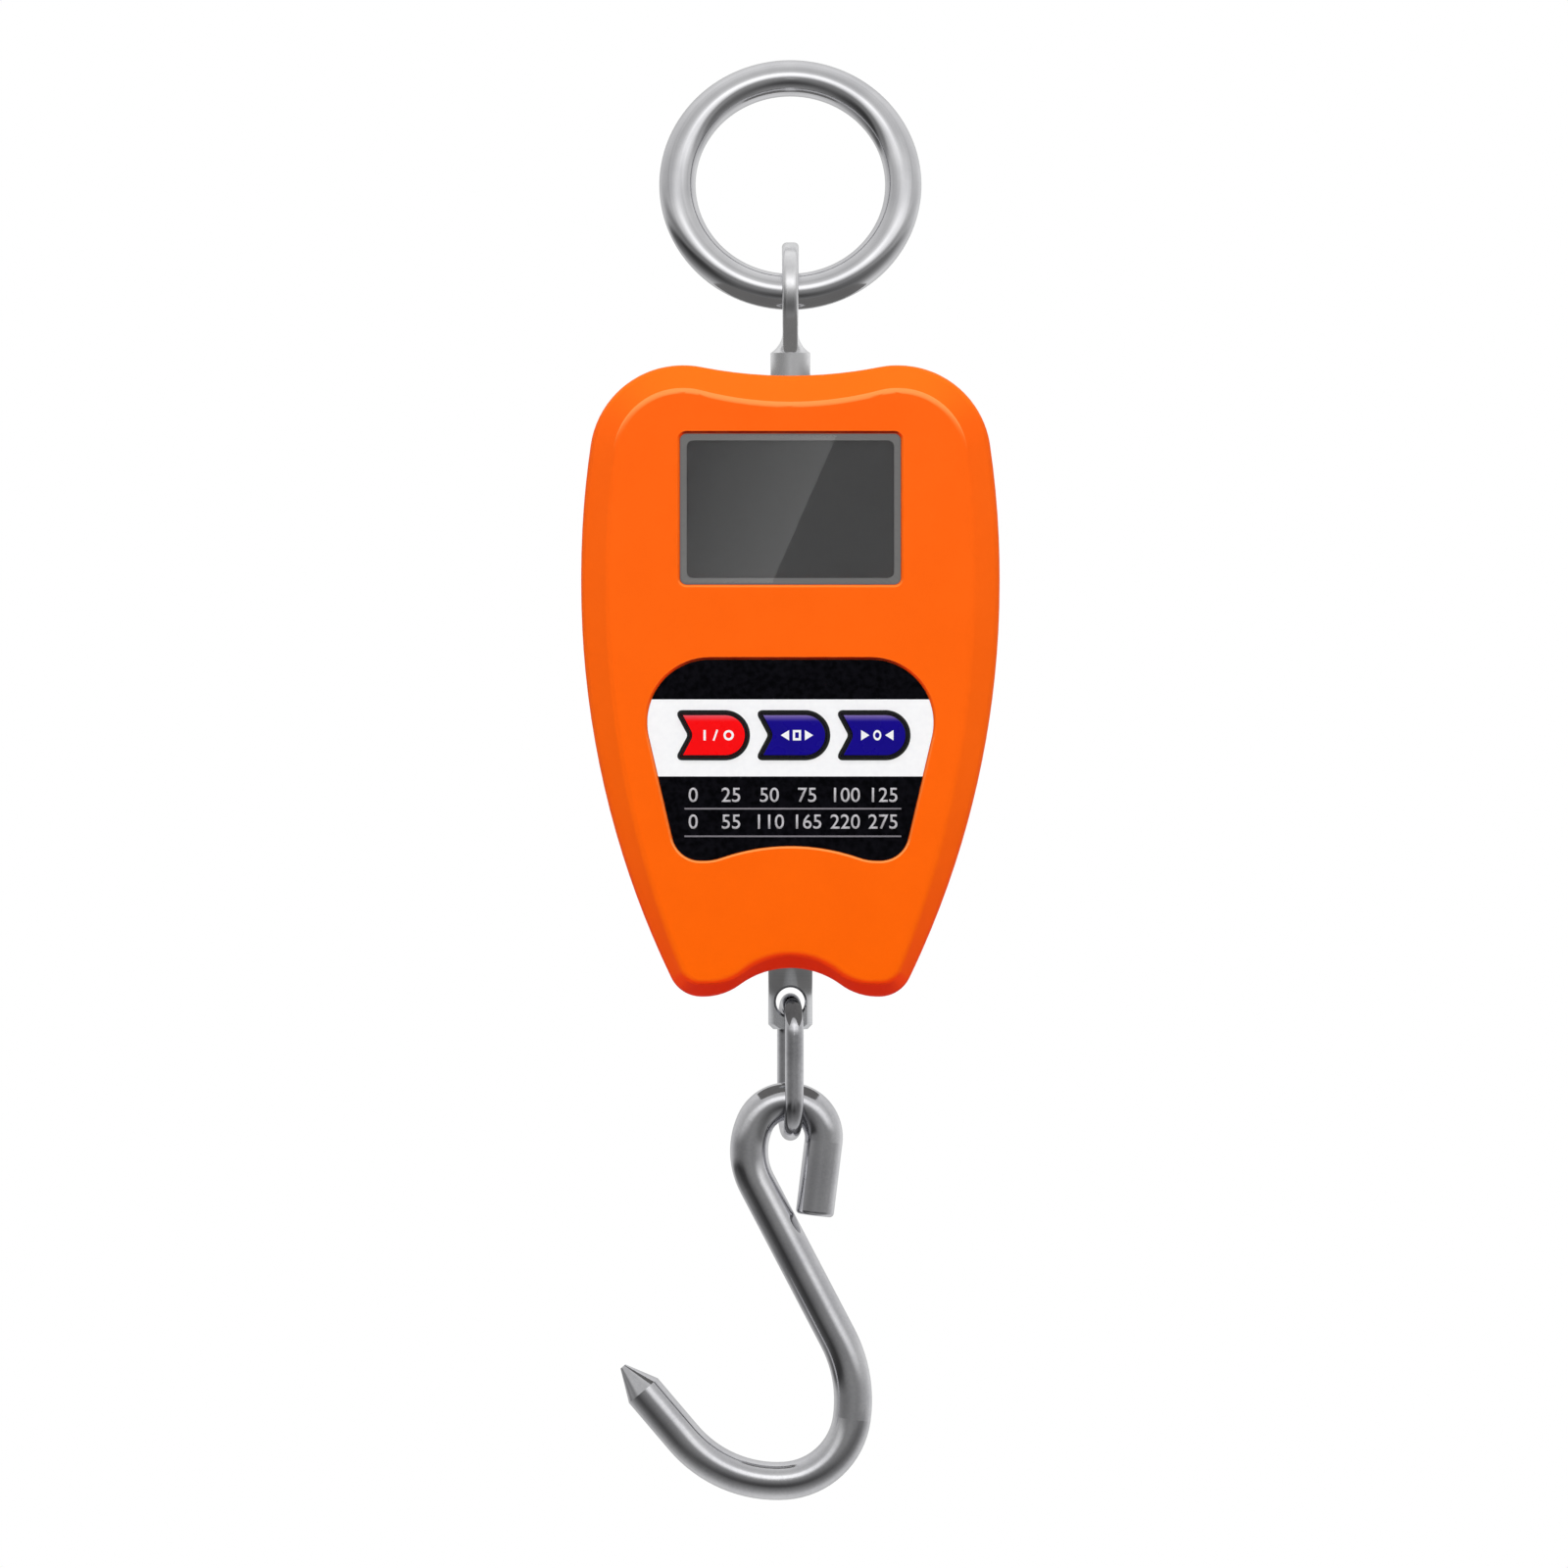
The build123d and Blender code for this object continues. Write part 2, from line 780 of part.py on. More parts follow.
def make_rear_cover():
    outline = body_outline()
    cover = slab(outline, 0, rear_depth)
    cover = fillet(cover.faces().sort_by(Axis.Y)[-1].edges(), rear_rounding)
    cover = chamfer(cover.faces().sort_by(Axis.Y)[0].edges(), seam_chamfer)
    inside = offset(outline, amount=-wall)
    cover -= slab(inside, 0, rear_depth - wall)
    lip = offset(outline, amount=-(wall - lip_width)) - inside
    cover += slab(lip, -lip_height, 0)
    cover += rear_bosses()
    cover += bay_box()
    cover -= door_cut()
    return cover - rear_screw_cuts() - eye_opening() - post_opening()


def rear_bosses():
    """The screw bosses and, beside the bay, the pillars that carry the load cell."""
    bosses = [rod(screw_boss, 0, rear_depth - wall, x, z) for x, z in mirrored(housing_screws)]
    for side in (-1, 1):
        bosses.append(rod(cell_pillar, cell_thickness / 2, rear_depth - wall, side * cell_screw_x, pillar_z))
    return bosses


def rear_screw_cuts():
    cuts = []
    for x, z in mirrored(housing_screws):
        cuts.append(rod(screw_head + 2 * screw_play, screw_seat, rear_depth, x, z))
        cuts.append(rod(screw_diameter + 2 * screw_play, 0, screw_seat, x, z))
    deep = cell_thickness / 2 + cell_screw_bite + pilot_room
    for side in (-1, 1):
        cuts.append(rod(cell_screw_diameter, cell_thickness / 2, deep, side * cell_screw_x, pillar_z))
    return cuts


def bay_box():
    width = 2 * (bay_half_width + bay_wall)
    return block(width, bay_length + 2 * bay_wall, bay_floor, rear_depth - wall, z=bay_middle)


def door_cut():
    """The bay's inside, the door's seat round it and the slots for the contacts' tabs."""
    cut = block(2 * bay_half_width, bay_length, bay_inner, rear_depth, z=bay_middle)
    pocket_width = 2 * (bay_half_width + door_margin + door_play)
    pocket_height = door_bottom - door_top + 2 * door_play
    cut += block(pocket_width, pocket_height, door_inner, rear_depth, z=bay_middle, corner=door_corner)
    for side in (-1, 1):
        cut += tab_block(side, bore_play)
    return cut


def make_door():
    """The door: plate, spring latch between two slots, thumb rest, ribs and locating legs."""
    height = door_bottom - door_top
    width = 2 * (bay_half_width + door_margin)
    door = block(width, height, door_inner, rear_depth, z=bay_middle, corner=door_corner - door_play)
    for side in (-1, 1):
        slot_x = side * (latch_width + latch_slot) / 2
        door -= block(latch_slot, latch_length, door_inner, rear_depth, slot_x, -door_top - latch_length / 2)
    thumb_z = -door_top - latch_length - thumb_height
    thumb = Pos(0, thumb_z) * SlotOverall(thumb_width, thumb_height)
    door -= slab(thumb, rear_depth - thumb_depth, rear_depth)
    leg_top = -bay_bottom + leg_play + leg_thickness / 2
    nib_z = -bay_top - leg_play - leg_thickness / 2
    for side in (-1, 1):
        door += block(leg_width, leg_thickness, door_inner - leg_reach, door_inner, side * leg_x, leg_top)
        rib_x = side * battery_pitch / 2
        rib_height = battery_length / 2
        door += block(door_rib, rib_height, door_inner - leg_reach, door_inner, rib_x, bay_middle)
    return door + block(latch_nib, leg_thickness, door_inner - leg_reach, door_inner, 0, nib_z)


def tab_block(side, play):
    """The solder tab through the bay's wall: at the top on the right, at the foot on the left."""
    inner_z = -bay_top if side > 0 else -bay_bottom
    reach = bay_wall + (contact_tab_reach if not play else play)
    z = inner_z + side * reach / 2
    depth = contact_thickness / 2 + play
    return block(contact_tab + 2 * play, reach, battery_y - depth, battery_y + depth, side * tab_x, z)


def contact_plate(left, right, top):
    """A plate against the bay's top or foot, from one x to another."""
    z = -bay_top - contact_thickness / 2 if top else -bay_bottom + contact_thickness / 2
    depth = contact_depth / 2
    width = right - left
    return block(width, contact_thickness, battery_y - depth, battery_y + depth, (left + right) / 2, z)


def make_contacts():
    half = contact_width / 2
    first, middle, last = battery_xs
    return [
        contact_plate(last - half, last + half, True) + tab_block(1, 0),
        contact_plate(first - half, middle + half, True),
        contact_plate(middle - half, last + half, False),
        contact_plate(first - half, first + half, False) + tab_block(-1, 0),
    ]


def make_springs():
    """Conical coils between the contacts and the cells' flat ends, as ringed cones."""
    springs = []
    for x, up in battery_ends():
        foot = contact_thickness - bay_bottom if up else -bay_top - contact_thickness
        away = 1 if up else -1
        step = (bay_spring_room - spring_wire) / (spring_turns - 1)
        for n in range(spring_turns):
            radius = spring_foot_radius - n * spring_taper
            middle = foot + away * (spring_wire / 2 + n * step)
            ring = Pos(x, battery_y, middle) * Torus(radius, spring_wire / 2)
            spring = ring if n == 0 else spring + ring
        tip_radius = spring_foot_radius - (spring_turns - 1) * spring_taper
        core = Cone(spring_foot_radius, tip_radius, bay_spring_room - spring_wire)
        tilt = Rot(0, 0, 0) if up else Rot(180, 0, 0)
        springs.append(spring + Pos(x, battery_y, foot + away * bay_spring_room / 2) * tilt * core)
    return springs


def make_lead(side):
    """From a contact's tab beside the load cell to the back of the board."""
    start_z = -bay_top if side > 0 else -bay_bottom
    tab_z = start_z + side * (bay_wall + contact_tab_reach)
    turn_z = tab_z + side * lead_run
    path = FilletPolyline(
        (side * tab_x, battery_y, tab_z),
        (side * tab_x, battery_y, turn_z),
        (side * lead_x, battery_y, turn_z),
        (side * lead_x, board_back, turn_z),
        radius=lead_bend,
    )
    return swept(path, lead_diameter)


def make_cable():
    """From the load cell's side to the top of its socket on the board."""
    width, height, thickness, x, z = board_parts["cell_socket"]
    socket_y = board_back + thickness / 2
    socket_top = height / 2 - z
    path = FilletPolyline(
        (cell_width / 2, 0, -beam_centre + beam_height / 2),
        (x, 0, -beam_centre + beam_height / 2),
        (x, socket_y, socket_top + cable_run),
        (x, socket_y, socket_top),
        radius=cable_bend,
    )
    return swept(path, cable_diameter)


def battery_ends():
    """Each cell's x and whether its nub points up."""
    return [(x, (battery_count - 1 - n) % 2 == 0) for n, x in enumerate(battery_xs)]


def make_batteries():
    cells = []
    for x, up in battery_ends():
        can_low = contact_thickness + battery_nub_height - bay_bottom
        if up:
            can_low = -bay_top - contact_thickness - battery_length
        can_high = can_low + battery_length - battery_nub_height
        nub_low = can_high if up else can_low - battery_nub_height
        can = bar(battery_diameter, can_low, can_high, x, battery_y)
        cells.append(can + bar(battery_nub, nub_low, nub_low + battery_nub_height, x, battery_y))
    return cells


def make_screws():
    """Screws with round heads and a cross recess."""
    screws = []
    head_back = screw_seat + screw_head_height
    for x, z in mirrored(housing_screws):
        head = rod(screw_head, screw_seat, head_back, x, z)
        head = fillet(head.faces().sort_by(Axis.Y)[-1].edges(), screw_head_rounding)
        for width, height in ((recess_length, recess_width), (recess_width, recess_length)):
            head -= block(width, height, head_back - recess_depth, head_back, x, z)
        screws.append(head + rod(screw_diameter, screw_seat - screw_length, screw_seat, x, z))
    return screws


def write_parts(parts):
    os.makedirs("parts", exist_ok=True)
    to_origin = Pos(0, -crown_y, -crown_z)
    for name, shape in parts.items():
        solids = shape if isinstance(shape, list) else [shape]
        moved = [to_origin * solid for solid in solids]
        export_step(Compound(children=moved) if len(moved) > 1 else moved[0], f"parts/{name}.step")


parts = {
    "hanging_ring": make_ring(),
    "upper_eye_bolt": make_eye_bolt(),
    "eye_lock_nut": make_nut(-cell_top),
    "load_cell": make_load_cell(),
    "strain_gauges": make_gauges(),
    "load_cell_screws": make_cell_screws(),
    "lower_post": make_post(),
    "post_lock_nut": make_nut(-cell_bottom - nut_height),
    "oval_link": make_link(),
    "s_hook": make_hook(),
    "front_cover": make_front_cover(),
    "rear_cover": make_rear_cover(),
    "display_window": make_window(),
    "lcd_glass": make_lcd_glass(),
    "lcd_frame": make_lcd_frame(),
    "zebra_strips": make_zebras(),
    "keypad_overlay": make_overlay(),
    "key_switches": make_switches(),
    "circuit_board": make_board(),
    "board_screws": make_board_screws(),
    "board_components": make_board_parts(),
    "battery_door": make_door(),
    "battery_cells": make_batteries(),
    "battery_contacts": make_contacts(),
    "battery_springs": make_springs(),
    "battery_lead_positive": make_lead(1),
    "battery_lead_negative": make_lead(-1),
    "load_cell_cable": make_cable(),
    "housing_screws": make_screws(),
}
for name, x in zip(key_names, key_xs):
    parts[f"{name}_key"] = make_key(x)
    parts[f"{name}_plunger"] = make_plunger(x)
write_parts(parts)
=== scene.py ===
import bpy
import bmesh
from math import cos, pi, radians, sin
from mathutils import Matrix, Vector


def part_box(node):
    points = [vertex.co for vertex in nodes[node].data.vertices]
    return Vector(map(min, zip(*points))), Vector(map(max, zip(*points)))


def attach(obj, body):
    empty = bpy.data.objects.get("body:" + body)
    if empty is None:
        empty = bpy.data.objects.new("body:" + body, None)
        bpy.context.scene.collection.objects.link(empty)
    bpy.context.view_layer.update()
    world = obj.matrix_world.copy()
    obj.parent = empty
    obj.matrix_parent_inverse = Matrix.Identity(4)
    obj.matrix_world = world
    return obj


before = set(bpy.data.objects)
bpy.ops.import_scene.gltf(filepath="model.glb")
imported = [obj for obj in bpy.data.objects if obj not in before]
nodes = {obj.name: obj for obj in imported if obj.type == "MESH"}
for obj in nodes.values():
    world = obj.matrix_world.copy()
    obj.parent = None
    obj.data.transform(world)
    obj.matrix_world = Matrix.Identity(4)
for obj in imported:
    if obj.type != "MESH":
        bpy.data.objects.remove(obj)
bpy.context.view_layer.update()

mm = 0.001
print("frame loaded,", len(nodes), "nodes")


def middleOf(node):
    low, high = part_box(node)
    return (low + high) / 2


# Camera: straight on, with a long lens so that the scale shows almost without perspective
camera = {
    "distance": 4.0,
    "across": 288.3 * mm,  # width seen at the load line
    "right": -1.17 * mm,
    "belowTop": 76.73 * mm,  # under the housing's top
    "sensor": 36.0,
    "farthest": 60.0,
}
loadLine = middleOf("load_cell")
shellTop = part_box("rear_cover")[1].z
cameraData = bpy.data.cameras.new("camera")
cameraObject = bpy.data.objects.new("camera", cameraData)
bpy.context.scene.collection.objects.link(cameraObject)
cameraData.type = "PERSP"
cameraData.sensor_width = camera["sensor"]
cameraData.lens = camera["sensor"] * camera["distance"] / camera["across"]
cameraData.clip_end = camera["farthest"]
cameraObject.location = (camera["right"], loadLine.y - camera["distance"], shellTop - camera["belowTop"])
cameraObject.rotation_euler = (pi / 2, 0, 0)
bpy.context.scene.camera = cameraObject
bpy.context.scene.view_settings.view_transform = "Standard"
print("camera placed")


# Node helpers that every finish is built with
def addNode(tree, kind, inputs=None, **settings):
    node = tree.nodes.new(kind)
    for name, value in settings.items():
        setattr(node, name, value)
    for name, value in (inputs or {}).items():
        node.inputs[name].default_value = value
    return node


def mathNode(tree, operation, first, second=None, clamp=False):
    # Each value is a socket to link or a plain number
    node = addNode(tree, "ShaderNodeMath", operation=operation, use_clamp=clamp)
    for place, value in enumerate((first, second)):
        if hasattr(value, "links"):
            tree.links.new(value, node.inputs[place])
        elif value is not None:
            node.inputs[place].default_value = value
    return node.outputs[0]


def spread(tree, value, fromMin, fromMax, toMin=0.0, toMax=1.0, smooth=False):
    node = addNode(tree, "ShaderNodeMapRange", interpolation_type="SMOOTHSTEP" if smooth else "LINEAR")
    for name, amount in (
        ("Value", value), ("From Min", fromMin), ("From Max", fromMax), ("To Min", toMin), ("To Max", toMax),
    ):
        if hasattr(amount, "links"):
            tree.links.new(amount, node.inputs[name])
        else:
            node.inputs[name].default_value = amount
    return node.outputs["Result"]


def mixColour(tree, share, first, second):
    node = addNode(tree, "ShaderNodeMix", data_type="RGBA")
    for name, value in ((0, share), (6, first), (7, second)):
        if hasattr(value, "links"):
            tree.links.new(value, node.inputs[name])
        else:
            node.inputs[name].default_value = value
    return node.outputs[2]


def axesOf(tree, vector):
    node = addNode(tree, "ShaderNodeSeparateXYZ")
    tree.links.new(vector, node.inputs[0])
    return node.outputs


def facingOf(tree):
    # Which way the surface faces, by axis
    return axesOf(tree, addNode(tree, "ShaderNodeNewGeometry").outputs["Normal"])


def square(tree, value):
    return mathNode(tree, "MULTIPLY", value, value)


def linear(red, green, blue):
    # A colour as it looks on a screen, 0 to 255, turned into what the shader wants
    def one(value):
        value = value / 255
        return value / 12.92 if value <= 0.04045 else ((value + 0.055) / 1.055) ** 2.4
    return (one(red), one(green), one(blue), 1.0)


def newGroup(name, inputs, outputs):
    group = bpy.data.node_groups.new(name, "ShaderNodeTree")
    for title, kind, start in inputs:
        socket = group.interface.new_socket(name=title, in_out="INPUT", socket_type="NodeSocket" + kind)
        if kind != "Vector":
            socket.default_value = start
    for title, kind in outputs:
        group.interface.new_socket(name=title, in_out="OUTPUT", socket_type="NodeSocket" + kind)
    return group, addNode(group, "NodeGroupInput").outputs, addNode(group, "NodeGroupOutput").inputs


# Ranges in which each noise, or the surface's turn at a worn edge, runs from none of its effect to all of it
patterns = {
    "mottle": (0.32, 0.68), "grain": (0.3, 0.7), "wearTurn": (0.995, 0.85), "wearPatch": (0.35, 0.6),
    "lines": (0.35, 0.65), "cloudShare": 0.6,  # the lines take the rest
}


# Grain of mouldings and films: two tones, a roughness and a height for the bump
def makeGrain():
    group, given, result = newGroup("fineGrain", (
        ("Vector", "Vector", None), ("Tone", "Color", (0.5, 0.5, 0.5, 1)), ("Other Tone", "Color", (0.4, 0.4, 0.4, 1)),
        ("Grain Scale", "Float", 1500.0), ("Mottle Scale", "Float", 60.0), ("Mottle Share", "Float", 0.3),
        ("Grain Share", "Float", 0.2), ("Smoothest", "Float", 0.4), ("Roughest", "Float", 0.6),
    ), (("Tone", "Color"), ("Roughness", "Float"), ("Height", "Float")))
    grain = addNode(group, "ShaderNodeTexNoise", {"Detail": 3.0, "Roughness": 0.6})
    mottle = addNode(group, "ShaderNodeTexNoise", {"Detail": 5.0, "Roughness": 0.55})
    for texture, scale in ((grain, "Grain Scale"), (mottle, "Mottle Scale")):
        group.links.new(given["Vector"], texture.inputs["Vector"])
        group.links.new(given[scale], texture.inputs["Scale"])
    broad = spread(group, mottle.outputs["Fac"], *patterns["mottle"], smooth=True)
    fine = spread(group, grain.outputs["Fac"], *patterns["grain"])
    share = mathNode(group, "ADD", mathNode(group, "MULTIPLY", broad, given["Mottle Share"]),
                     mathNode(group, "MULTIPLY", fine, given["Grain Share"]), clamp=True)
    group.links.new(mixColour(group, share, given["Tone"], given["Other Tone"]), result["Tone"])
    group.links.new(spread(group, broad, 0.0, 1.0, given["Smoothest"], given["Roughest"]), result["Roughness"])
    group.links.new(grain.outputs["Fac"], result["Height"])
    return group


# Wear on edges: a mask that is 1 where the surface turns sharply, broken up by noise
def makeWear():
    group, given, result = newGroup("edgeWear", (
        ("Vector", "Vector", None), ("Radius", "Float", 0.3 * mm), ("Amount", "Float", 0.5),
        ("Breakup Scale", "Float", 400.0),
    ), (("Mask", "Float"),))
    rounded = addNode(group, "ShaderNodeBevel", samples=4)
    group.links.new(given["Radius"], rounded.inputs["Radius"])
    surface = addNode(group, "ShaderNodeNewGeometry")
    turn = addNode(group, "ShaderNodeVectorMath", operation="DOT_PRODUCT")
    group.links.new(rounded.outputs["Normal"], turn.inputs[0])
    group.links.new(surface.outputs["Normal"], turn.inputs[1])
    breakup = addNode(group, "ShaderNodeTexNoise", {"Detail": 4.0})
    group.links.new(given["Vector"], breakup.inputs["Vector"])
    group.links.new(given["Breakup Scale"], breakup.inputs["Scale"])
    edge = spread(group, turn.outputs["Value"], *patterns["wearTurn"])
    patch = spread(group, breakup.outputs["Fac"], *patterns["wearPatch"])
    worn = mathNode(group, "MULTIPLY", mathNode(group, "MULTIPLY", edge, patch), given["Amount"], clamp=True)
    group.links.new(worn, result["Mask"])
    return group


# Polishing lines: noise drawn out along the way the tool went, for metal
def makeLines():
    group, given, result = newGroup("polishLines", (
        ("Vector", "Vector", None), ("Line Scale", "Float", 3000.0), ("Cloud Scale", "Float", 120.0),
        ("Smoothest", "Float", 0.1), ("Roughest", "Float", 0.2), ("Tone", "Color", (0.7, 0.7, 0.7, 1)),
        ("Other Tone", "Color", (0.6, 0.6, 0.6, 1)),
    ), (("Tone", "Color"), ("Roughness", "Float"), ("Height", "Float")))
    lines = addNode(group, "ShaderNodeTexNoise", {"Detail": 4.0, "Roughness": 0.7})
    group.links.new(given["Vector"], lines.inputs["Vector"])
    group.links.new(given["Line Scale"], lines.inputs["Scale"])
    cloud = addNode(group, "ShaderNodeTexNoise", {"Detail": 4.0})
    place = addNode(group, "ShaderNodeTexCoord")
    group.links.new(place.outputs["Object"], cloud.inputs["Vector"])
    group.links.new(given["Cloud Scale"], cloud.inputs["Scale"])
    clouded = spread(group, cloud.outputs["Fac"], *patterns["lines"])
    lined = spread(group, lines.outputs["Fac"], *patterns["lines"])
    both = mathNode(group, "ADD", mathNode(group, "MULTIPLY", clouded, patterns["cloudShare"]),
                    mathNode(group, "MULTIPLY", lined, 1 - patterns["cloudShare"]))
    group.links.new(spread(group, both, 0.0, 1.0, given["Smoothest"], given["Roughest"]), result["Roughness"])
    group.links.new(mixColour(group, both, given["Tone"], given["Other Tone"]), result["Tone"])
    group.links.new(lines.outputs["Fac"], result["Height"])
    return group


grainGroup, wearGroup, linesGroup = makeGrain(), makeWear(), makeLines()


def newFinish(name, finish):
    # The start of every material: its shader with the plain values, and where patterns are read from
    material = bpy.data.materials.new(name)
    material.use_nodes = True
    tree = material.node_tree
    shader = tree.nodes["Principled BSDF"]
    for socket, value in finish.get("shader", {}).items():
        shader.inputs[socket].default_value = value
    place = addNode(tree, "ShaderNodeTexCoord").outputs["Object"]
    return material, tree, shader, place


def joinPattern(tree, shader, tone, pattern, finish):
    # The end of every patterned material: its tone, and the pattern's roughness and height
    tree.links.new(tone, shader.inputs["Base Color"])
    tree.links.new(pattern["Roughness"], shader.inputs["Roughness"])
    depth = finish.get("bumpDepth", 0.05) * mm
    bump = addNode(tree, "ShaderNodeBump", {"Strength": finish.get("bump", 0.1), "Distance": depth})
    tree.links.new(pattern["Height"], bump.inputs["Height"])
    tree.links.new(bump.outputs["Normal"], shader.inputs["Normal"])


def addPattern(tree, group, vector, inputs):
    node = addNode(tree, "ShaderNodeGroup", inputs, node_tree=group)
    tree.links.new(vector, node.inputs["Vector"])
    return node.outputs


def addGrain(tree, place, finish, tone="tone", otherTone="otherTone"):
    return addPattern(tree, grainGroup, place, {
        "Tone": linear(*finish[tone]), "Other Tone": linear(*finish[otherTone]),
        "Grain Scale": finish.get("grainScale", 1500.0), "Mottle Scale": finish.get("mottleScale", 60.0),
        "Mottle Share": finish.get("mottleShare", 0.5), "Grain Share": finish.get("grainShare", 0.2),
        "Smoothest": finish["rough"][0], "Roughest": finish["rough"][1],
    })


def grainedFinish(name, finish):
    # Moulded, filmed or printed surface of one colour
    material, tree, shader, place = newFinish(name, finish)
    grain = addGrain(tree, place, finish)
    joinPattern(tree, shader, grain["Tone"], grain, finish)
    return material


def metalFinish(name, finish):
    # Lines run round an axis ("turned"), round the ring ("ring") or every way ("plain")
    material, tree, shader, place = newFinish(name, finish)
    shader.inputs["Metallic"].default_value = 1.0
    way = place
    if finish["lines"] != "plain":
        join = addNode(tree, "ShaderNodeCombineXYZ")
        way = join.outputs[0]
    if finish["lines"] == "ring":
        turned = addNode(tree, "ShaderNodeMapping", {"Rotation": (finish["lean"], 0, 0), "Location": finish["centre"]},
                         vector_type="TEXTURE")
        tree.links.new(place, turned.inputs["Vector"])
        axes = axesOf(tree, turned.outputs["Vector"])
        across = mathNode(tree, "SQRT", mathNode(tree, "ADD", square(tree, axes["X"]), square(tree, axes["Z"])))
        tree.links.new(across, join.inputs["X"])
        tree.links.new(axes["Y"], join.inputs["Y"])
    elif finish["lines"] == "turned":
        tree.links.new(axesOf(tree, place)["Z"], join.inputs["Z"])
    lines = addPattern(tree, linesGroup, way, {
        "Tone": linear(*finish["tone"]), "Other Tone": linear(*finish["otherTone"]),
        "Line Scale": finish.get("lineScale", 3000.0), "Cloud Scale": finish.get("cloudScale", 120.0),
        "Smoothest": finish["rough"][0], "Roughest": finish["rough"][1],
    })
    joinPattern(tree, shader, lines["Tone"], lines, finish)
    return material


def dress(material, *names):
    for name in names:
        slots = nodes[name].data.materials
        slots.clear()
        slots.append(material)


# Steel parts
steel = {
    "ringSteel": {
        "tone": (226, 226, 228), "otherTone": (206, 206, 209), "rough": (0.10, 0.16), "bump": 0.05, "bumpDepth": 0.02,
        "lines": "ring", "lean": radians(-17.5), "centre": middleOf("hanging_ring"), "nodes": ("hanging_ring",),
    },
    "hookSteel": {
        "tone": (218, 218, 220), "otherTone": (196, 196, 200), "rough": (0.07, 0.14), "bump": 0.05, "bumpDepth": 0.02,
        "lines": "plain", "lineScale": 1600.0, "nodes": ("s_hook",),
    },
    "linkSteel": {
        "tone": (222, 222, 225), "otherTone": (186, 186, 190), "rough": (0.06, 0.13), "bump": 0.08, "bumpDepth": 0.02,
        "lines": "plain", "lineScale": 1400.0, "nodes": ("oval_link",),
    },
    "eyeSteel": {
        "tone": (250, 250, 251), "otherTone": (234, 234, 236), "rough": (0.24, 0.34), "bump": 0.08, "bumpDepth": 0.02,
        "lines": "plain", "lineScale": 1200.0, "nodes": ("upper_eye_bolt",),
    },
    "postSteel": {
        "tone": (222, 223, 225), "otherTone": (196, 197, 201), "rough": (0.16, 0.26), "bump": 0.12, "bumpDepth": 0.02,
        "lines": "turned", "lineScale": 4200.0, "nodes": ("lower_post",),
    },
    "zincPlate": {
        "tone": (205, 206, 202), "otherTone": (168, 170, 170), "rough": (0.22, 0.36), "bump": 0.1, "lines": "plain",
        "cloudScale": 700.0,
        "nodes": ("eye_lock_nut", "post_lock_nut", "load_cell_screws", "board_screws", "housing_screws"),
    },
    "milledAlloy": {
        "tone": (220, 221, 224), "otherTone": (196, 198, 202), "rough": (0.26, 0.36), "bump": 0.15, "lines": "turned",
        "lineScale": 1800.0, "nodes": ("load_cell",),
    },
    "nickelStrip": {
        "tone": (222, 219, 208), "otherTone": (196, 192, 180), "rough": (0.18, 0.3), "bump": 0.06, "lines": "plain",
        "nodes": ("battery_contacts", "battery_springs"),
    },
}
for name, finish in steel.items():
    dress(metalFinish(name, finish), *finish["nodes"])
print("steel finished")

# Moulded, filmed and rubber parts
moulded = {
    "darkMoulding": {
        "tone": (34, 34, 36), "otherTone": (24, 24, 26), "rough": (0.4, 0.55), "bump": 0.2,
        "nodes": ("key_switches",),
    },
    "stripRubber": {
        "tone": (60, 58, 60), "otherTone": (196, 120, 128), "rough": (0.6, 0.75), "grainScale": 3000.0,
        "mottleShare": 0.1, "grainShare": 0.7, "bump": 0.3, "nodes": ("zebra_strips",),
    },
    "whiteMoulding": {
        "tone": (222, 221, 215), "otherTone": (206, 205, 198), "rough": (0.35, 0.5), "bump": 0.15,
        "nodes": ("power_plunger", "mode_plunger", "tare_plunger"),
    },
    "gaugeFilm": {
        "tone": (206, 138, 44), "otherTone": (150, 92, 26), "rough": (0.25, 0.4), "grainScale": 2800.0,
        "grainShare": 0.6, "bump": 0.1, "nodes": ("strain_gauges",),
    },
    "chipEpoxy": {
        "tone": (30, 30, 32), "otherTone": (44, 44, 47), "rough": (0.45, 0.6), "bump": 0.3,
        "nodes": ("board_components",),
    },
    "redSleeve": {
        "tone": (190, 16, 14), "otherTone": (165, 12, 10), "rough": (0.35, 0.5), "bump": 0.1,
        "nodes": ("battery_lead_positive",),
    },
    "blackSleeve": {
        "tone": (22, 22, 23), "otherTone": (34, 34, 36), "rough": (0.35, 0.5), "bump": 0.1,
        "nodes": ("battery_lead_negative",),
    },
    "greySleeve": {
        "tone": (128, 129, 131), "otherTone": (108, 109, 112), "rough": (0.4, 0.55), "bump": 0.1,
        "nodes": ("load_cell_cable",),
    },
}
for name, finish in moulded.items():
    dress(grainedFinish(name, finish), *finish["nodes"])
print("mouldings finished")

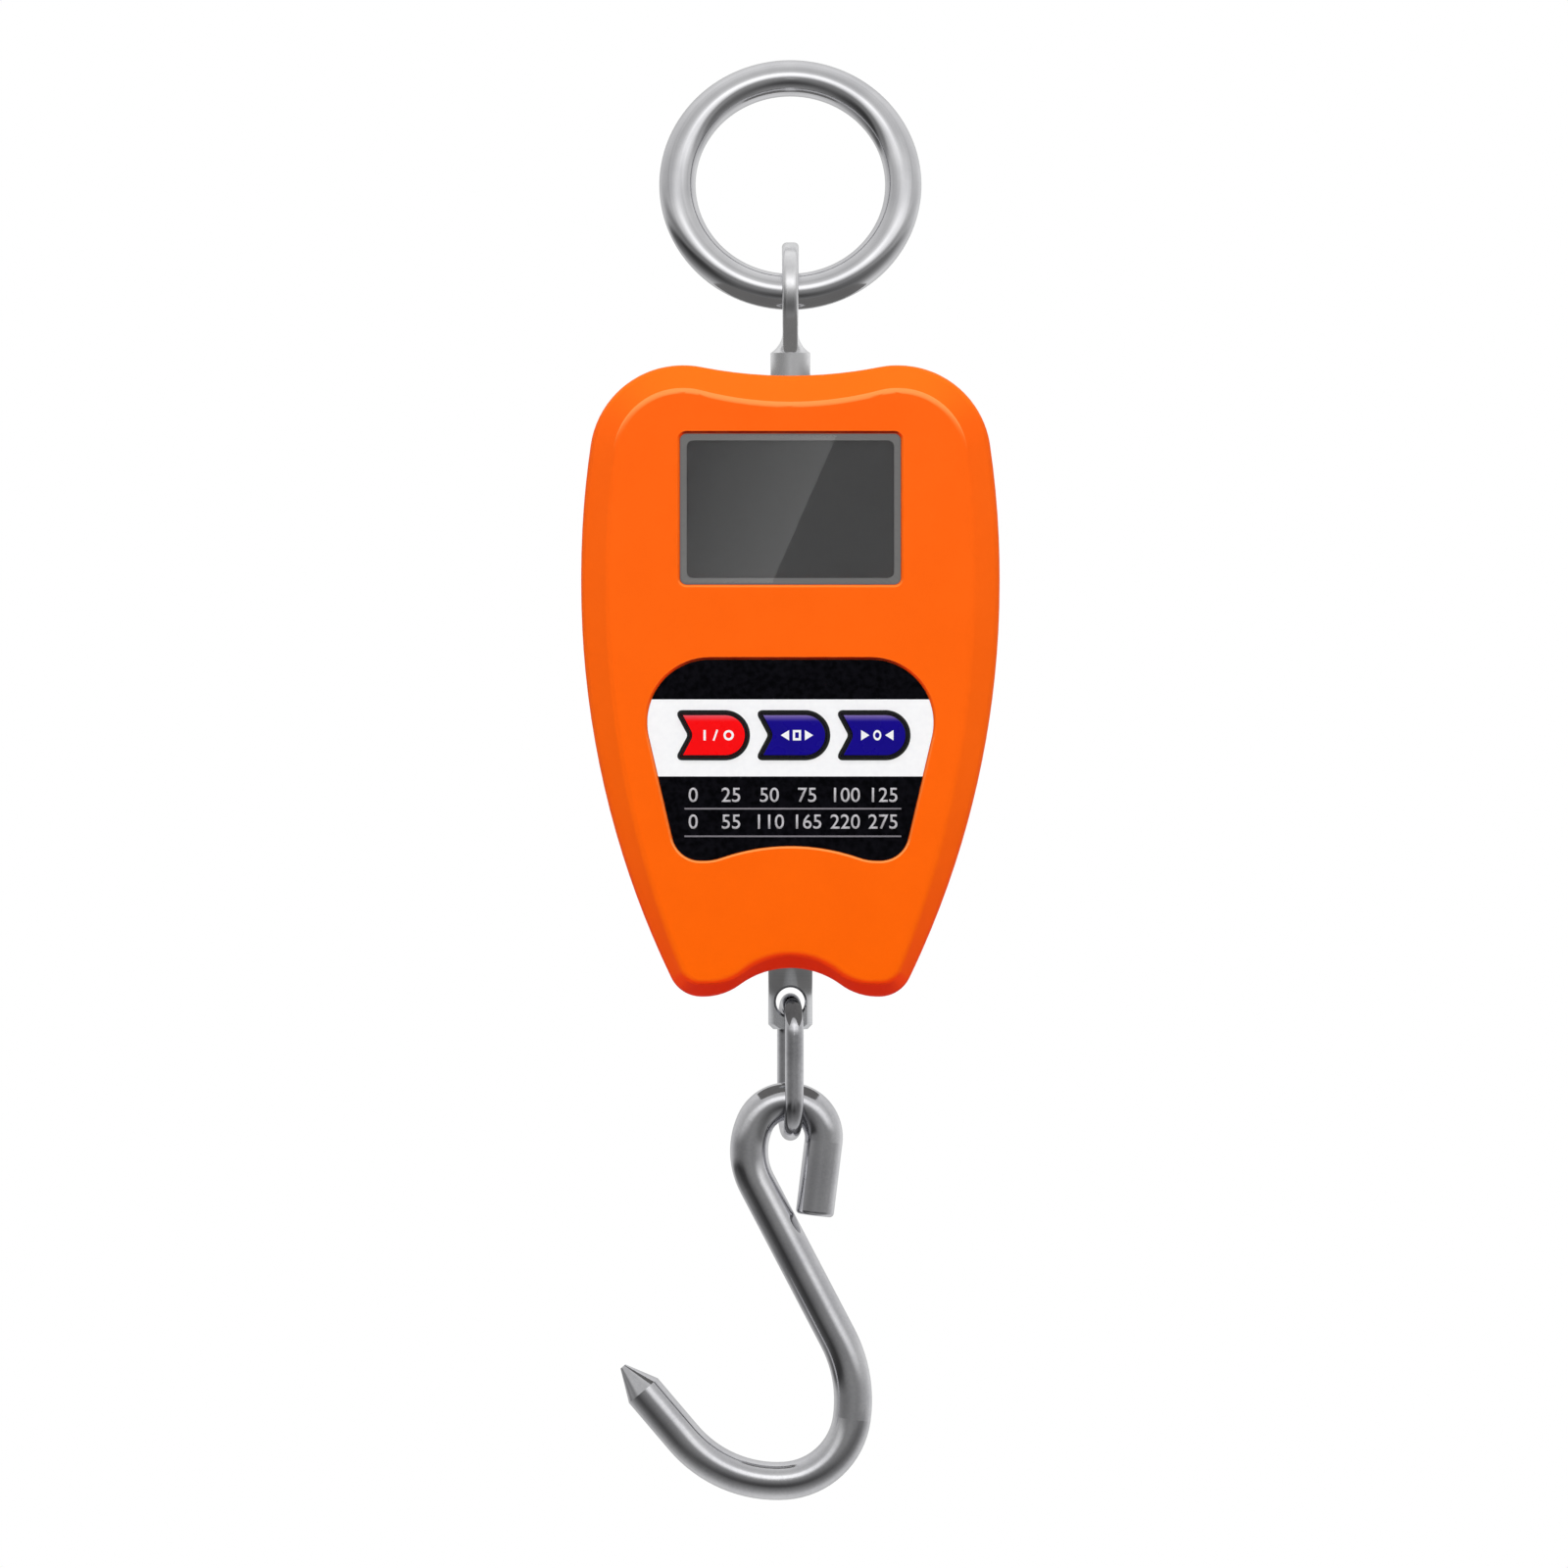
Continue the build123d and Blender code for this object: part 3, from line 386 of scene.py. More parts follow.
# Shell: its orange deepens towards the foot, painted shade deepens it where it faces down and under the top edges of
# its recesses, painted light makes it lighter where it faces up, and a painted highlight runs along its upper rims
shell = {
    "tone": (255, 102, 21), "otherTone": (252, 98, 16), "footTone": (255, 101, 0), "otherFootTone": (251, 98, 0),
    # Tones painted in for light and shade: lighter facing up, deeper facing down, a highlight on the upper rims, a
    # shadow under the recess edges, and a grey glow that only gloss sees
    "upTone": (255, 114, 20), "underTone": (250, 62, 0), "deepTone": (222, 38, 0), "rimHighlightAndBlackTone": (255, 158, 84),
    "shadowLipTone": (130, 22, 4), "reflectionGlowTone": (114, 113, 112), "wornTone": (255, 140, 64),
    # Where each tone comes in, by how far the surface faces up: 1 is straight up and -1 straight down
    "upTurn": (0.2, 0.6), "underTurn": (-0.08, -0.5), "deepTurn": (-0.5, -0.8), "rimTurn": (0.06, 0.3),
    "shadowLipTurn": (-0.55, -0.7),
    "wearRadius": 0.5, "wearAmount": 0.3, "rimDepth": 0.38, "rimHighlightShare": 0.75,
    "sillShare": 0.3, "sillReach": (1.2, 1.6),  # the painted rim highlight is fainter under the display, in mm from its foot
    "rough": (0.44, 0.54), "grainScale": 2400.0, "mottleScale": 90.0, "mottleShare": 0.5, "grainShare": 0.3,
    "bump": 0.22, "bumpDepth": 0.06, "shader": {"Specular IOR Level": 0.06, "Emission Strength": 1.0},
}
shellLow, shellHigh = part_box("front_cover")
windowLow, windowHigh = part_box("display_window")


def shellFinish(name, finish):
    material, tree, shader, place = newFinish(name, finish)
    upper = addGrain(tree, place, finish)
    lower = addGrain(tree, place, finish, "footTone", "otherFootTone")
    axes = axesOf(tree, place)
    up = facingOf(tree)["Z"]
    tone = mixColour(tree, spread(tree, axes["Z"], shellLow.z, shellHigh.z), lower["Tone"], upper["Tone"])
    # Painted light where the surface faces up and painted shade where it faces down
    for way in ("up", "under", "deep"):
        share = spread(tree, up, *finish[way + "Turn"], smooth=True)
        tone = mixColour(tree, share, tone, linear(*finish[way + "Tone"]))
    front = mathNode(tree, "LESS_THAN", axes["Y"], shellLow.y + finish["rimDepth"] * mm)
    away = mathNode(tree, "ABSOLUTE", mathNode(tree, "SUBTRACT", axes["Z"], windowLow.z))
    sill = spread(tree, away, *(reach * mm for reach in finish["sillReach"]), finish["sillShare"], 1.0)
    # Painted highlight along the upper rims at the front
    rimHighlight = mathNode(tree, "MULTIPLY", spread(tree, up, *finish["rimTurn"], 0.0, finish["rimHighlightShare"], smooth=True), front)
    tone = mixColour(tree, mathNode(tree, "MULTIPLY", rimHighlight, sill), tone, linear(*finish["rimHighlightAndBlackTone"]))
    # Painted shadow under the top edges of the recesses at the front
    shadowLip = mathNode(tree, "MULTIPLY", spread(tree, up, *finish["shadowLipTurn"], smooth=True), front)
    tone = mixColour(tree, shadowLip, tone, linear(*finish["shadowLipTone"]))
    wear = addPattern(tree, wearGroup, place, {"Radius": finish["wearRadius"] * mm, "Amount": finish["wearAmount"]})
    tone = mixColour(tree, wear["Mask"], tone, linear(*finish["wornTone"]))
    # Painted reflection: to gloss the shell is black and glows an even grey, so steel shows the shell grey
    mirrored = addNode(tree, "ShaderNodeLightPath").outputs["Is Glossy Ray"]
    black = linear(0, 0, 0)
    grey = mixColour(tree, mirrored, black, linear(*finish["reflectionGlowTone"]))
    tree.links.new(grey, shader.inputs["Emission Color"])
    joinPattern(tree, shader, mixColour(tree, mirrored, tone, black), upper, finish)
    return material


dress(shellFinish("orangeShell", shell), "front_cover", "rear_cover", "battery_door")

# Keys: glossy caps, black on the rounded rim, with a painted highlight along the top
keyCaps = {
    "redKey": {
        "tone": (251, 2, 8), "otherTone": (241, 1, 6), "highlightTone": (220, 90, 104), "nodes": ("power_key",),
    },
    "blueKey": {
        "tone": (16, 0, 134), "otherTone": (11, 0, 122), "highlightTone": (136, 116, 180), "nodes": ("mode_key", "tare_key"),
    },
    "both": {
        "rough": (0.24, 0.34), "bump": 0.06, "mottleScale": 200.0, "rimHighlightAndBlackTone": (7, 5, 9), "rimTurn": (0.925, 0.955),
        "highlightStart": 2.3, "highlightEnd": 0.6,  # below the key's top edge, in mm
        "highlightShare": 0.9,
        "shader": {"Coat Weight": 0.2, "Coat Roughness": 0.1, "Specular IOR Level": 0.08},
    },
}
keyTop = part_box("power_key")[1].z


def keyFinish(name, finish):
    material, tree, shader, place = newFinish(name, finish)
    grain = addGrain(tree, place, finish)
    start, end = keyTop - finish["highlightStart"] * mm, keyTop - finish["highlightEnd"] * mm
    # Painted highlight along the top of each key
    highlight = spread(tree, axesOf(tree, place)["Z"], start, end, 0.0, finish["highlightShare"], smooth=True)
    tone = mixColour(tree, highlight, grain["Tone"], linear(*finish["highlightTone"]))
    flat = spread(tree, mathNode(tree, "ABSOLUTE", facingOf(tree)["Y"]), *finish["rimTurn"])
    joinPattern(tree, shader, mixColour(tree, flat, linear(*finish["rimHighlightAndBlackTone"]), tone), grain, finish)
    return material


for name in ("redKey", "blueKey"):
    dress(keyFinish(name, keyCaps["both"] | keyCaps[name]), *keyCaps[name]["nodes"])
print("shell and keys finished")

# Keypad overlay: a white band between two black ones, told apart by height
overlayLow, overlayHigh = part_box("keypad_overlay")
overlay = {
    "whiteTop": 7.25, "whiteFoot": 21.35,  # below the overlay's top, in mm
    "tone": (2, 2, 4), "otherTone": (27, 26, 33), "rough": (0.42, 0.55),
    "whiteTone": (248, 248, 249), "otherWhiteTone": (238, 238, 241),
    "grainScale": 1900.0, "mottleScale": 1000.0, "mottleShare": 0.3, "grainShare": 0.0, "bump": 0.25,
    "shader": {"Specular IOR Level": 0.03},
}


def overlayFinish(name, finish):
    material, tree, shader, place = newFinish(name, finish)
    black = addGrain(tree, place, finish)
    white = addGrain(tree, place, finish, "whiteTone", "otherWhiteTone")
    height = axesOf(tree, place)["Z"]
    below = mathNode(tree, "LESS_THAN", height, overlayHigh.z - finish["whiteTop"] * mm)
    above = mathNode(tree, "GREATER_THAN", height, overlayHigh.z - finish["whiteFoot"] * mm)
    band = mathNode(tree, "MULTIPLY", below, above)
    joinPattern(tree, shader, mixColour(tree, band, black["Tone"], white["Tone"]), black, finish)
    return material


dress(overlayFinish("overlayFilm", overlay), "keypad_overlay")

# Battery cells: dark wrap with a lighter band at the middle height
cellWrap = {
    "tone": (40, 44, 52), "otherTone": (58, 62, 72), "bandTone": (196, 148, 70), "otherBandTone": (176, 130, 58),
    "rough": (0.28, 0.38), "bandHalf": 5.0, "mottleShare": 0.3, "shader": {"Metallic": 0.6},
}


def cellFinish(name, finish):
    material, tree, shader, place = newFinish(name, finish)
    wrap = addGrain(tree, place, finish)
    band = addGrain(tree, place, finish, "bandTone", "otherBandTone")
    offMiddle = mathNode(tree, "SUBTRACT", axesOf(tree, place)["Z"], middleOf("battery_cells").z)
    inside = mathNode(tree, "LESS_THAN", mathNode(tree, "ABSOLUTE", offMiddle), finish["bandHalf"] * mm)
    joinPattern(tree, shader, mixColour(tree, inside, wrap["Tone"], band["Tone"]), wrap, finish)
    return material


dress(cellFinish("cellWrap", cellWrap), "battery_cells")

# Circuit board: solder mask with lighter copper runs under it
boardMask = {
    "tone": (18, 96, 50), "otherTone": (14, 78, 40), "runTone": (44, 128, 66), "rough": (0.25, 0.4),
    "runScale": 420.0, "runWidth": 1.4, "runGap": 0.03, "bump": 0.1,
}


def boardFinish(name, finish):
    material, tree, shader, place = newFinish(name, finish)
    mask = addGrain(tree, place, finish)
    runs = addNode(tree, "ShaderNodeTexBrick", {
        "Scale": finish["runScale"], "Mortar Size": finish["runGap"], "Brick Width": finish["runWidth"],
    })
    turn = addNode(tree, "ShaderNodeMapping", {"Rotation": (pi / 2, 0, 0)})
    tree.links.new(place, turn.inputs["Vector"])
    tree.links.new(turn.outputs["Vector"], runs.inputs["Vector"])
    tone = mixColour(tree, runs.outputs["Fac"], mask["Tone"], linear(*finish["runTone"]))
    joinPattern(tree, shader, tone, mask, finish)
    return material


dress(boardFinish("boardMask", boardMask), "circuit_board")

# Display: a clear window over a dark panel, with painted shade darkening the panel towards its border
display = {
    "tone": (50, 50, 50), "otherTone": (48, 48, 48), "borderShadeTone": (14, 16, 17), "blur": 0.35,
    "rough": (0.45, 0.6), "bump": 0.002, "shader": {"Specular IOR Level": 0.0},
    "lens": {"Base Color": (0.86, 0.86, 0.87, 1), "Transmission Weight": 1.0, "IOR": 1.49},
    "lensRough": (0.0, 0.01), "marks": (0.55, 0.8), "marksScale": 260.0, "marksStretch": (1, 1, 9),
}


def panelFinish(name, finish):
    material, tree, shader, place = newFinish(name, finish)
    panel = addGrain(tree, place, finish)
    axes = axesOf(tree, place)
    middle = (windowLow + windowHigh) / 2
    half = (windowHigh - windowLow) / 2
    inside = 1.0
    # Painted shade towards the window's border
    for axis, centre, edge in (("X", middle.x, half.x), ("Z", middle.z, half.z)):
        away = mathNode(tree, "ABSOLUTE", mathNode(tree, "SUBTRACT", axes[axis], centre))
        near = spread(tree, away, edge - finish["blur"] * mm, edge, 1.0, 0.0, smooth=True)
        inside = mathNode(tree, "MULTIPLY", near, inside)
    joinPattern(tree, shader, mixColour(tree, inside, linear(*finish["borderShadeTone"]), panel["Tone"]), panel, finish)
    return material


def lensFinish(name, finish):
    # Clear window with a faint haze of fine wiping marks in its gloss
    material, tree, shader, place = newFinish(name, {"shader": finish["lens"]})
    stretched = addNode(tree, "ShaderNodeMapping", {"Scale": finish["marksStretch"]})
    marks = addNode(tree, "ShaderNodeTexNoise", {"Scale": finish["marksScale"], "Detail": 6.0})
    tree.links.new(place, stretched.inputs["Vector"])
    tree.links.new(stretched.outputs["Vector"], marks.inputs["Vector"])
    haze = spread(tree, marks.outputs["Fac"], *finish["marks"], *finish["lensRough"])
    tree.links.new(haze, shader.inputs["Roughness"])
    return material


dress(panelFinish("displayPanel", display), "lcd_glass", "lcd_frame")
dress(lensFinish("displayLens", display), "display_window")
print("overlay, cells, board and display finished")

# Inks of the print on the keypad
inks = {
    "white": {"tone": (246, 246, 248), "otherTone": (234, 234, 238), "rough": (0.4, 0.55), "bump": 0.05},
    "grey": {
        "tone": (198, 196, 200), "otherTone": (170, 168, 173), "rough": (0.4, 0.55), "bump": 0.05,
        "mottleScale": 900.0,
    },
    "dim": {"tone": (128, 124, 130), "otherTone": (108, 104, 110), "rough": (0.4, 0.55), "bump": 0.05},
    "black": {"tone": (6, 6, 8), "otherTone": (12, 12, 15), "rough": (0.35, 0.5), "bump": 0.05},
}
for name, finish in inks.items():
    finish["material"] = grainedFinish(name + "Print", finish)
weldReach = 0.0005 * mm  # a printed piece's corners nearer than this become one


def newObject(name, bm, material):
    mesh = bpy.data.meshes.new(name)
    bm.to_mesh(mesh)
    bm.free()
    mesh.materials.append(material)
    made = bpy.data.objects.new(name, mesh)
    bpy.context.scene.collection.objects.link(made)
    return made


def flatFace(bm, points, depth):
    # Each point is a place across and up
    return bm.faces.new([bm.verts.new((x, depth, z)) for x, z in points])


def printPiece(name, bm, thickness, ink, body):
    # Printed pieces are drawn flat, facing the front, and this pulls them forwards by the ink's thickness in mm
    raised = bmesh.ops.extrude_face_region(bm, geom=list(bm.faces), use_keep_orig=True)
    moved = [item for item in raised["geom"] if isinstance(item, bmesh.types.BMVert)]
    bmesh.ops.translate(bm, verts=moved, vec=(0, -thickness * mm, 0))
    bmesh.ops.remove_doubles(bm, verts=bm.verts, dist=weldReach)
    bmesh.ops.recalc_face_normals(bm, faces=bm.faces)
    piece = newObject(name, bm, inks[ink]["material"])
    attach(piece, body)


keyPrint = {
    "width": 13.4, "height": 9.2, "notch": 2.0, "tipReach": 0.45,
    "tipRound": 1.5, "notchRound": 0.48,  # how far along its sides each corner is cut back
    "border": 0.5, "ink": 0.03, "cornerSteps": 10, "noseSteps": 24,
    "weld": 0.001,  # the bevels' neighbours nearer than this become one corner
}
keyNames = ("power", "mode", "tare")


def keyOutline(bm, middle, depth, shape):
    half = shape["height"] / 2 * mm
    left = middle.x - (shape["width"] / 2 + shape["tipReach"]) * mm
    notch = middle.x + (shape["notch"] - shape["width"] / 2) * mm
    right = middle.x + shape["width"] / 2 * mm
    corners = [(left, half), (notch, 0), (left, -half), (right, -half), (right, half)]
    verts = list(flatFace(bm, [(x, middle.z + z) for x, z in corners], depth).verts)
    for chosen, reach, steps in (
        (verts[3:], shape["height"] / 2, shape["noseSteps"]),
        ([verts[0], verts[2]], shape["tipRound"], shape["cornerSteps"]),
        ([verts[1]], shape["notchRound"], shape["cornerSteps"]),
    ):
        bmesh.ops.bevel(bm, geom=chosen, offset=reach * mm, offset_type="OFFSET", segments=steps, profile=0.5,
                        affect="VERTICES", clamp_overlap=False, material=-1)
    bmesh.ops.remove_doubles(bm, verts=bm.verts, dist=shape["weld"] * mm)
    bm.faces.ensure_lookup_table()
    return bm.faces[0]


def makeKeyBorder(name):
    bm = bmesh.new()
    face = keyOutline(bm, middleOf(name + "_key"), overlayLow.y, keyPrint)
    bmesh.ops.inset_region(bm, faces=[face], thickness=keyPrint["border"] * mm, use_even_offset=True,
                           use_boundary=True)
    bmesh.ops.delete(bm, geom=[face], context="FACES")
    printPiece(name + "_key_border", bm, keyPrint["ink"], "black", "scale")


for name in keyNames:
    makeKeyBorder(name)
print("key borders printed")

# Signs on the keys: a bar, a slash and a ring; two arrows beside a frame; two arrows pointing at a zero
signs = {
    "height": 1.9, "stroke": 0.42, "pitch": 2.2, "right": 0.6, "ink": 0.03, "ringSteps": 32,
    # Shares of the height, the stroke and the pitch
    "arrowWidth": 0.8, "zeroWidth": 0.78, "slashHeight": 1.1, "slashStroke": 0.8, "slashShift": 0.1,
    "slashLean": radians(-20),
}


def bar(bm, x, z, width, height, depth, angle=0.0):
    corners = [(-width / 2, -height / 2), (width / 2, -height / 2), (width / 2, height / 2), (-width / 2, height / 2)]
    turned = [(x + a * cos(angle) - b * sin(angle), z + a * sin(angle) + b * cos(angle)) for a, b in corners]
    flatFace(bm, turned, depth)


def ringSign(bm, x, z, width, height, stroke, depth):
    start = [bm.verts.new((x + reach, depth, z)) for reach in (height / 2 - stroke, height / 2)]
    edge = bm.edges.new(start)
    before = set(bm.verts) - set(start)
    bmesh.ops.spin(bm, geom=start + [edge], cent=(x, depth, z), axis=(0, 1, 0), angle=2 * pi,
                   steps=signs["ringSteps"], use_merge=True, use_duplicate=False)
    made = [vert for vert in bm.verts if vert not in before]
    bmesh.ops.scale(bm, verts=made, vec=(width / height, 1, 1), space=Matrix.Translation((-x, -depth, -z)))


def arrow(bm, x, z, width, height, depth, way):
    tip, back = x + way * width / 2, x - way * width / 2
    flatFace(bm, [(tip, z), (back, z + height / 2), (back, z - height / 2)], depth)


def powerSign(bm, x, z, depth, height, stroke, pitch):
    bar(bm, x - pitch, z, stroke, height, depth)
    bar(bm, x - pitch * signs["slashShift"], z, stroke * signs["slashStroke"], height * signs["slashHeight"], depth,
        signs["slashLean"])
    ringSign(bm, x + pitch, z, height, height, stroke, depth)


def modeSign(bm, x, z, depth, height, stroke, pitch):
    width = height * signs["arrowWidth"]
    for side in (-1, 1):
        arrow(bm, x + side * pitch, z, width, height, depth, side)
        bar(bm, x, z + side * (height - stroke) / 2, width, stroke, depth)
        bar(bm, x + side * (width - stroke) / 2, z, stroke, height - 2 * stroke, depth)


def tareSign(bm, x, z, depth, height, stroke, pitch):
    ringSign(bm, x, z, height * signs["zeroWidth"], height, stroke, depth)
    for side in (-1, 1):
        arrow(bm, x + side * pitch, z, height * signs["arrowWidth"], height, depth, -side)


for name, draw in zip(keyNames, (powerSign, modeSign, tareSign)):
    bm = bmesh.new()
    middle = middleOf(name + "_key")
    sizes = (signs[key] * mm for key in ("height", "stroke", "pitch"))
    draw(bm, middle.x + signs["right"] * mm, middle.z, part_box(name + "_key")[0].y, *sizes)
    printPiece(name + "_key_sign", bm, signs["ink"], "white", name + "_button")
print("key signs printed")

# Two rows of plain numbers, each with a line under it; heights are from the shell's top, in mm
rows = {
    "upper": {"numbers": (0, 25, 50, 75, 100, 125), "baseline": -80.0, "line": -81.25},
    "lower": {"numbers": (0, 55, 110, 165, 220, 275), "baseline": -84.9, "line": -86.3},
    "left": -19.4, "right": 20.3, "firstColumn": -17.8, "lastColumn": 17.0, "textSize": 3.75, "weight": 0.02,
    "lineHeight": 0.3, "ink": 0.03, "curveSteps": 4,
}


def textMesh(words, size):
    curve = bpy.data.curves.new("words", "FONT")
    curve.body = words
    curve.size = size
    curve.align_x = "CENTER"
    curve.resolution_u = rows["curveSteps"]
    curve.offset = rows["weight"] * mm
    holder = bpy.data.objects.new("words", curve)
    bpy.context.scene.collection.objects.link(holder)
    bpy.context.view_layer.update()
    mesh = bpy.data.meshes.new_from_object(holder.evaluated_get(bpy.context.evaluated_depsgraph_get()))
    bpy.data.objects.remove(holder)
    bpy.data.curves.remove(curve)
    return mesh


def makeRow(name):
    row = rows[name]
    left, right, first, last = (rows[key] * mm for key in ("left", "right", "firstColumn", "lastColumn"))
    bm = bmesh.new()
    for place, number in enumerate(row["numbers"]):
        mesh = textMesh(str(number), rows["textSize"] * mm)
        spot = Vector((first + (last - first) * place / (len(row["numbers"]) - 1), overlayLow.y,
                       shellTop + row["baseline"] * mm))
        mesh.transform(Matrix.Translation(spot) @ Matrix.Rotation(pi / 2, 4, "X"))
        bm.from_mesh(mesh)
        bpy.data.meshes.remove(mesh)
    printPiece(name + "_numbers", bm, rows["ink"], "grey", "scale")
    bm = bmesh.new()
    bar(bm, (left + right) / 2, shellTop + row["line"] * mm, right - left, rows["lineHeight"] * mm, overlayLow.y)
    printPiece(name + "_line", bm, rows["ink"], "dim", "scale")


makeRow("upper")
makeRow("lower")
print("numbers printed")

# Studio: floor, a world that metal sees as bands of light and dark, two big soft lamps and a card for the display
studio = {
    "floorHeight": -0.36, "floorHalf": 8.0, "floorTone": 0.8, "floorRough": 0.9, "floorGlow": 0.26,
    "fadeStart": 0.7, "fadeEnd": 2.2,
    "ambientLow": 0.13, "ambientHigh": 0.48,
    "lamps": {
        "frontSoftbox": {"place": (0.03, -0.85, 1.0), "size": (2.6, 0.8), "power": 21.3},
        "rearSoftbox": {"place": (0.0, 1.25, 0.75), "size": (2.4, 0.9), "power": 11.5},
    },
    "aim": (0, 0, -0.12),
}
# How bright polished steel looks, 0 to 255, by the angle in degrees that it reflects: 0 is straight to the front and
# 180 to the back. The first runs over the top, and the others round the sides from the left: at the horizon, above
# it and below it
bands = {
    "over": (
        (-180, 150), (-160, 168), (-130, 196), (-102, 186), (-82, 156), (-62, 122), (-45, 92), (-33, 60), (-22, 72),
        (-10, 102), (0, 124), (7, 162), (13, 214), (18, 255), (30, 255), (36, 208), (44, 180), (58, 172), (88, 196),
        (105, 206), (130, 200), (160, 180), (180, 150),
    ),
    "level": (
        (-180, 150), (-165, 172), (-135, 186), (-112, 162), (-92, 130), (-76, 114), (-58, 106), (-42, 106), (-26, 112),
        (-8, 120), (0, 124), (18, 121), (32, 124), (46, 134), (60, 148), (80, 158), (102, 176), (130, 200), (160, 190),
        (180, 150),
    ),
    "raised": (
        (-180, 150), (-160, 178), (-130, 186), (-100, 166), (-70, 158), (-40, 164), (-15, 176), (0, 184), (16, 196),
        (36, 216), (50, 198), (70, 174), (100, 178), (130, 200), (160, 190), (180, 150),
    ),
    "lowered": (
        (-180, 150), (-160, 176), (-140, 160), (-122, 92), (-104, 50), (-74, 44), (-46, 52), (-28, 96), (0, 124),
        (24, 106), (50, 96), (75, 110), (100, 150), (130, 192), (160, 190), (180, 150),
    ),
    "steel": 0.68,  # the share of light that the steel gives back
    "raisedRange": (0.04, 0.26), "loweredRange": (-0.05, -0.22),  # heights of the reflected direction
    "least": 0.0001,  # keeps the division whole where nothing is across or up
}


def bandRamp(tree, angle, stops):
    ramp = addNode(tree, "ShaderNodeValToRGB")
    elements = ramp.color_ramp.elements
    for _ in range(len(stops) - 2):
        elements.new(0.5)
    for element, (at, shown) in zip(elements, stops):
        element.position = (at + 180) / 360
        element.color = linear(shown, shown, shown)
    tree.links.new(spread(tree, angle, -pi, pi), ramp.inputs["Fac"])
    return ramp.outputs["Color"]


def makeWorld():
    world = bpy.data.worlds.new("studio")
    bpy.context.scene.world = world
    world.use_nodes = True
    tree = world.node_tree
    background = tree.nodes["Background"]
    path = addNode(tree, "ShaderNodeLightPath").outputs
    axes = axesOf(tree, addNode(tree, "ShaderNodeTexCoord").outputs["Generated"])
    right, height = axes["X"], axes["Z"]
    front = mathNode(tree, "MULTIPLY", axes["Y"], -1.0)
    over = bandRamp(tree, mathNode(tree, "ARCTAN2", height, front), bands["over"])
    around = mathNode(tree, "ARCTAN2", right, front)
    sides = bandRamp(tree, around, bands["level"])
    for way in ("raised", "lowered"):
        share = spread(tree, height, *bands[way + "Range"], smooth=True)
        sides = mixColour(tree, share, sides, bandRamp(tree, around, bands[way]))
    acrossSquare, heightSquare = square(tree, right), square(tree, height)
    whole = mathNode(tree, "ADD", mathNode(tree, "ADD", acrossSquare, heightSquare), bands["least"])
    share = mathNode(tree, "DIVIDE", acrossSquare, whole)
    seen = mathNode(tree, "DIVIDE", mixColour(tree, share, over, sides), bands["steel"])
    ambient = spread(tree, height, -1.0, 1.0, studio["ambientLow"], studio["ambientHigh"])
    white = mathNode(tree, "MAXIMUM", path["Is Camera Ray"], path["Is Transmission Ray"])
    level = addNode(tree, "ShaderNodeMix", data_type="FLOAT")
    for place, value in ((0, path["Is Glossy Ray"]), (2, ambient), (3, seen)):
        tree.links.new(value, level.inputs[place])
    tree.links.new(mathNode(tree, "MAXIMUM", level.outputs[0], white), background.inputs["Strength"])
    background.inputs["Color"].default_value = (1, 1, 1, 1)


def makeFloor():
    bm = bmesh.new()
    bmesh.ops.create_grid(bm, x_segments=1, y_segments=1, size=studio["floorHalf"])
    bmesh.ops.translate(bm, verts=bm.verts, vec=(0, 0, studio["floorHeight"]))
    tone = studio["floorTone"]
    material, tree, shader, place = newFinish("floorPaper", {"shader": {
        "Base Color": (tone, tone, tone, 1), "Roughness": studio["floorRough"], "Specular IOR Level": 0.0,
        "Emission Color": (1, 1, 1, 1),
    }})
    path = addNode(tree, "ShaderNodeLightPath").outputs
    seen = mathNode(tree, "MAXIMUM", path["Is Camera Ray"], path["Is Glossy Ray"])
    seen = mathNode(tree, "MAXIMUM", seen, path["Is Transmission Ray"])
    tree.links.new(mathNode(tree, "MULTIPLY", seen, studio["floorGlow"]), shader.inputs["Emission Strength"])
    glow = addNode(tree, "ShaderNodeEmission", {"Color": (1, 1, 1, 1), "Strength": 1.0})
    away = addNode(tree, "ShaderNodeVectorMath", operation="LENGTH")
    tree.links.new(place, away.inputs[0])
    far = spread(tree, away.outputs["Value"], studio["fadeStart"], studio["fadeEnd"], smooth=True)
    blend = addNode(tree, "ShaderNodeMixShader")
    tree.links.new(mathNode(tree, "MULTIPLY", far, seen), blend.inputs[0])
    tree.links.new(shader.outputs[0], blend.inputs[1])
    tree.links.new(glow.outputs[0], blend.inputs[2])
    tree.links.new(blend.outputs[0], tree.nodes["Material Output"].inputs["Surface"])
    floor = newObject("floor", bm, material)
    floor.visible_glossy = False


def addLamp(name, place, size, power, aim):
    data = bpy.data.lights.new(name, "AREA")
    data.shape = "RECTANGLE"
    data.size, data.size_y = size
    data.energy = power
    lamp = bpy.data.objects.new(name, data)
    bpy.context.scene.collection.objects.link(lamp)
    lamp.location = place
    lamp.rotation_euler = (Vector(aim) - Vector(place)).to_track_quat("-Z", "Y").to_euler()
    lamp.visible_glossy = False


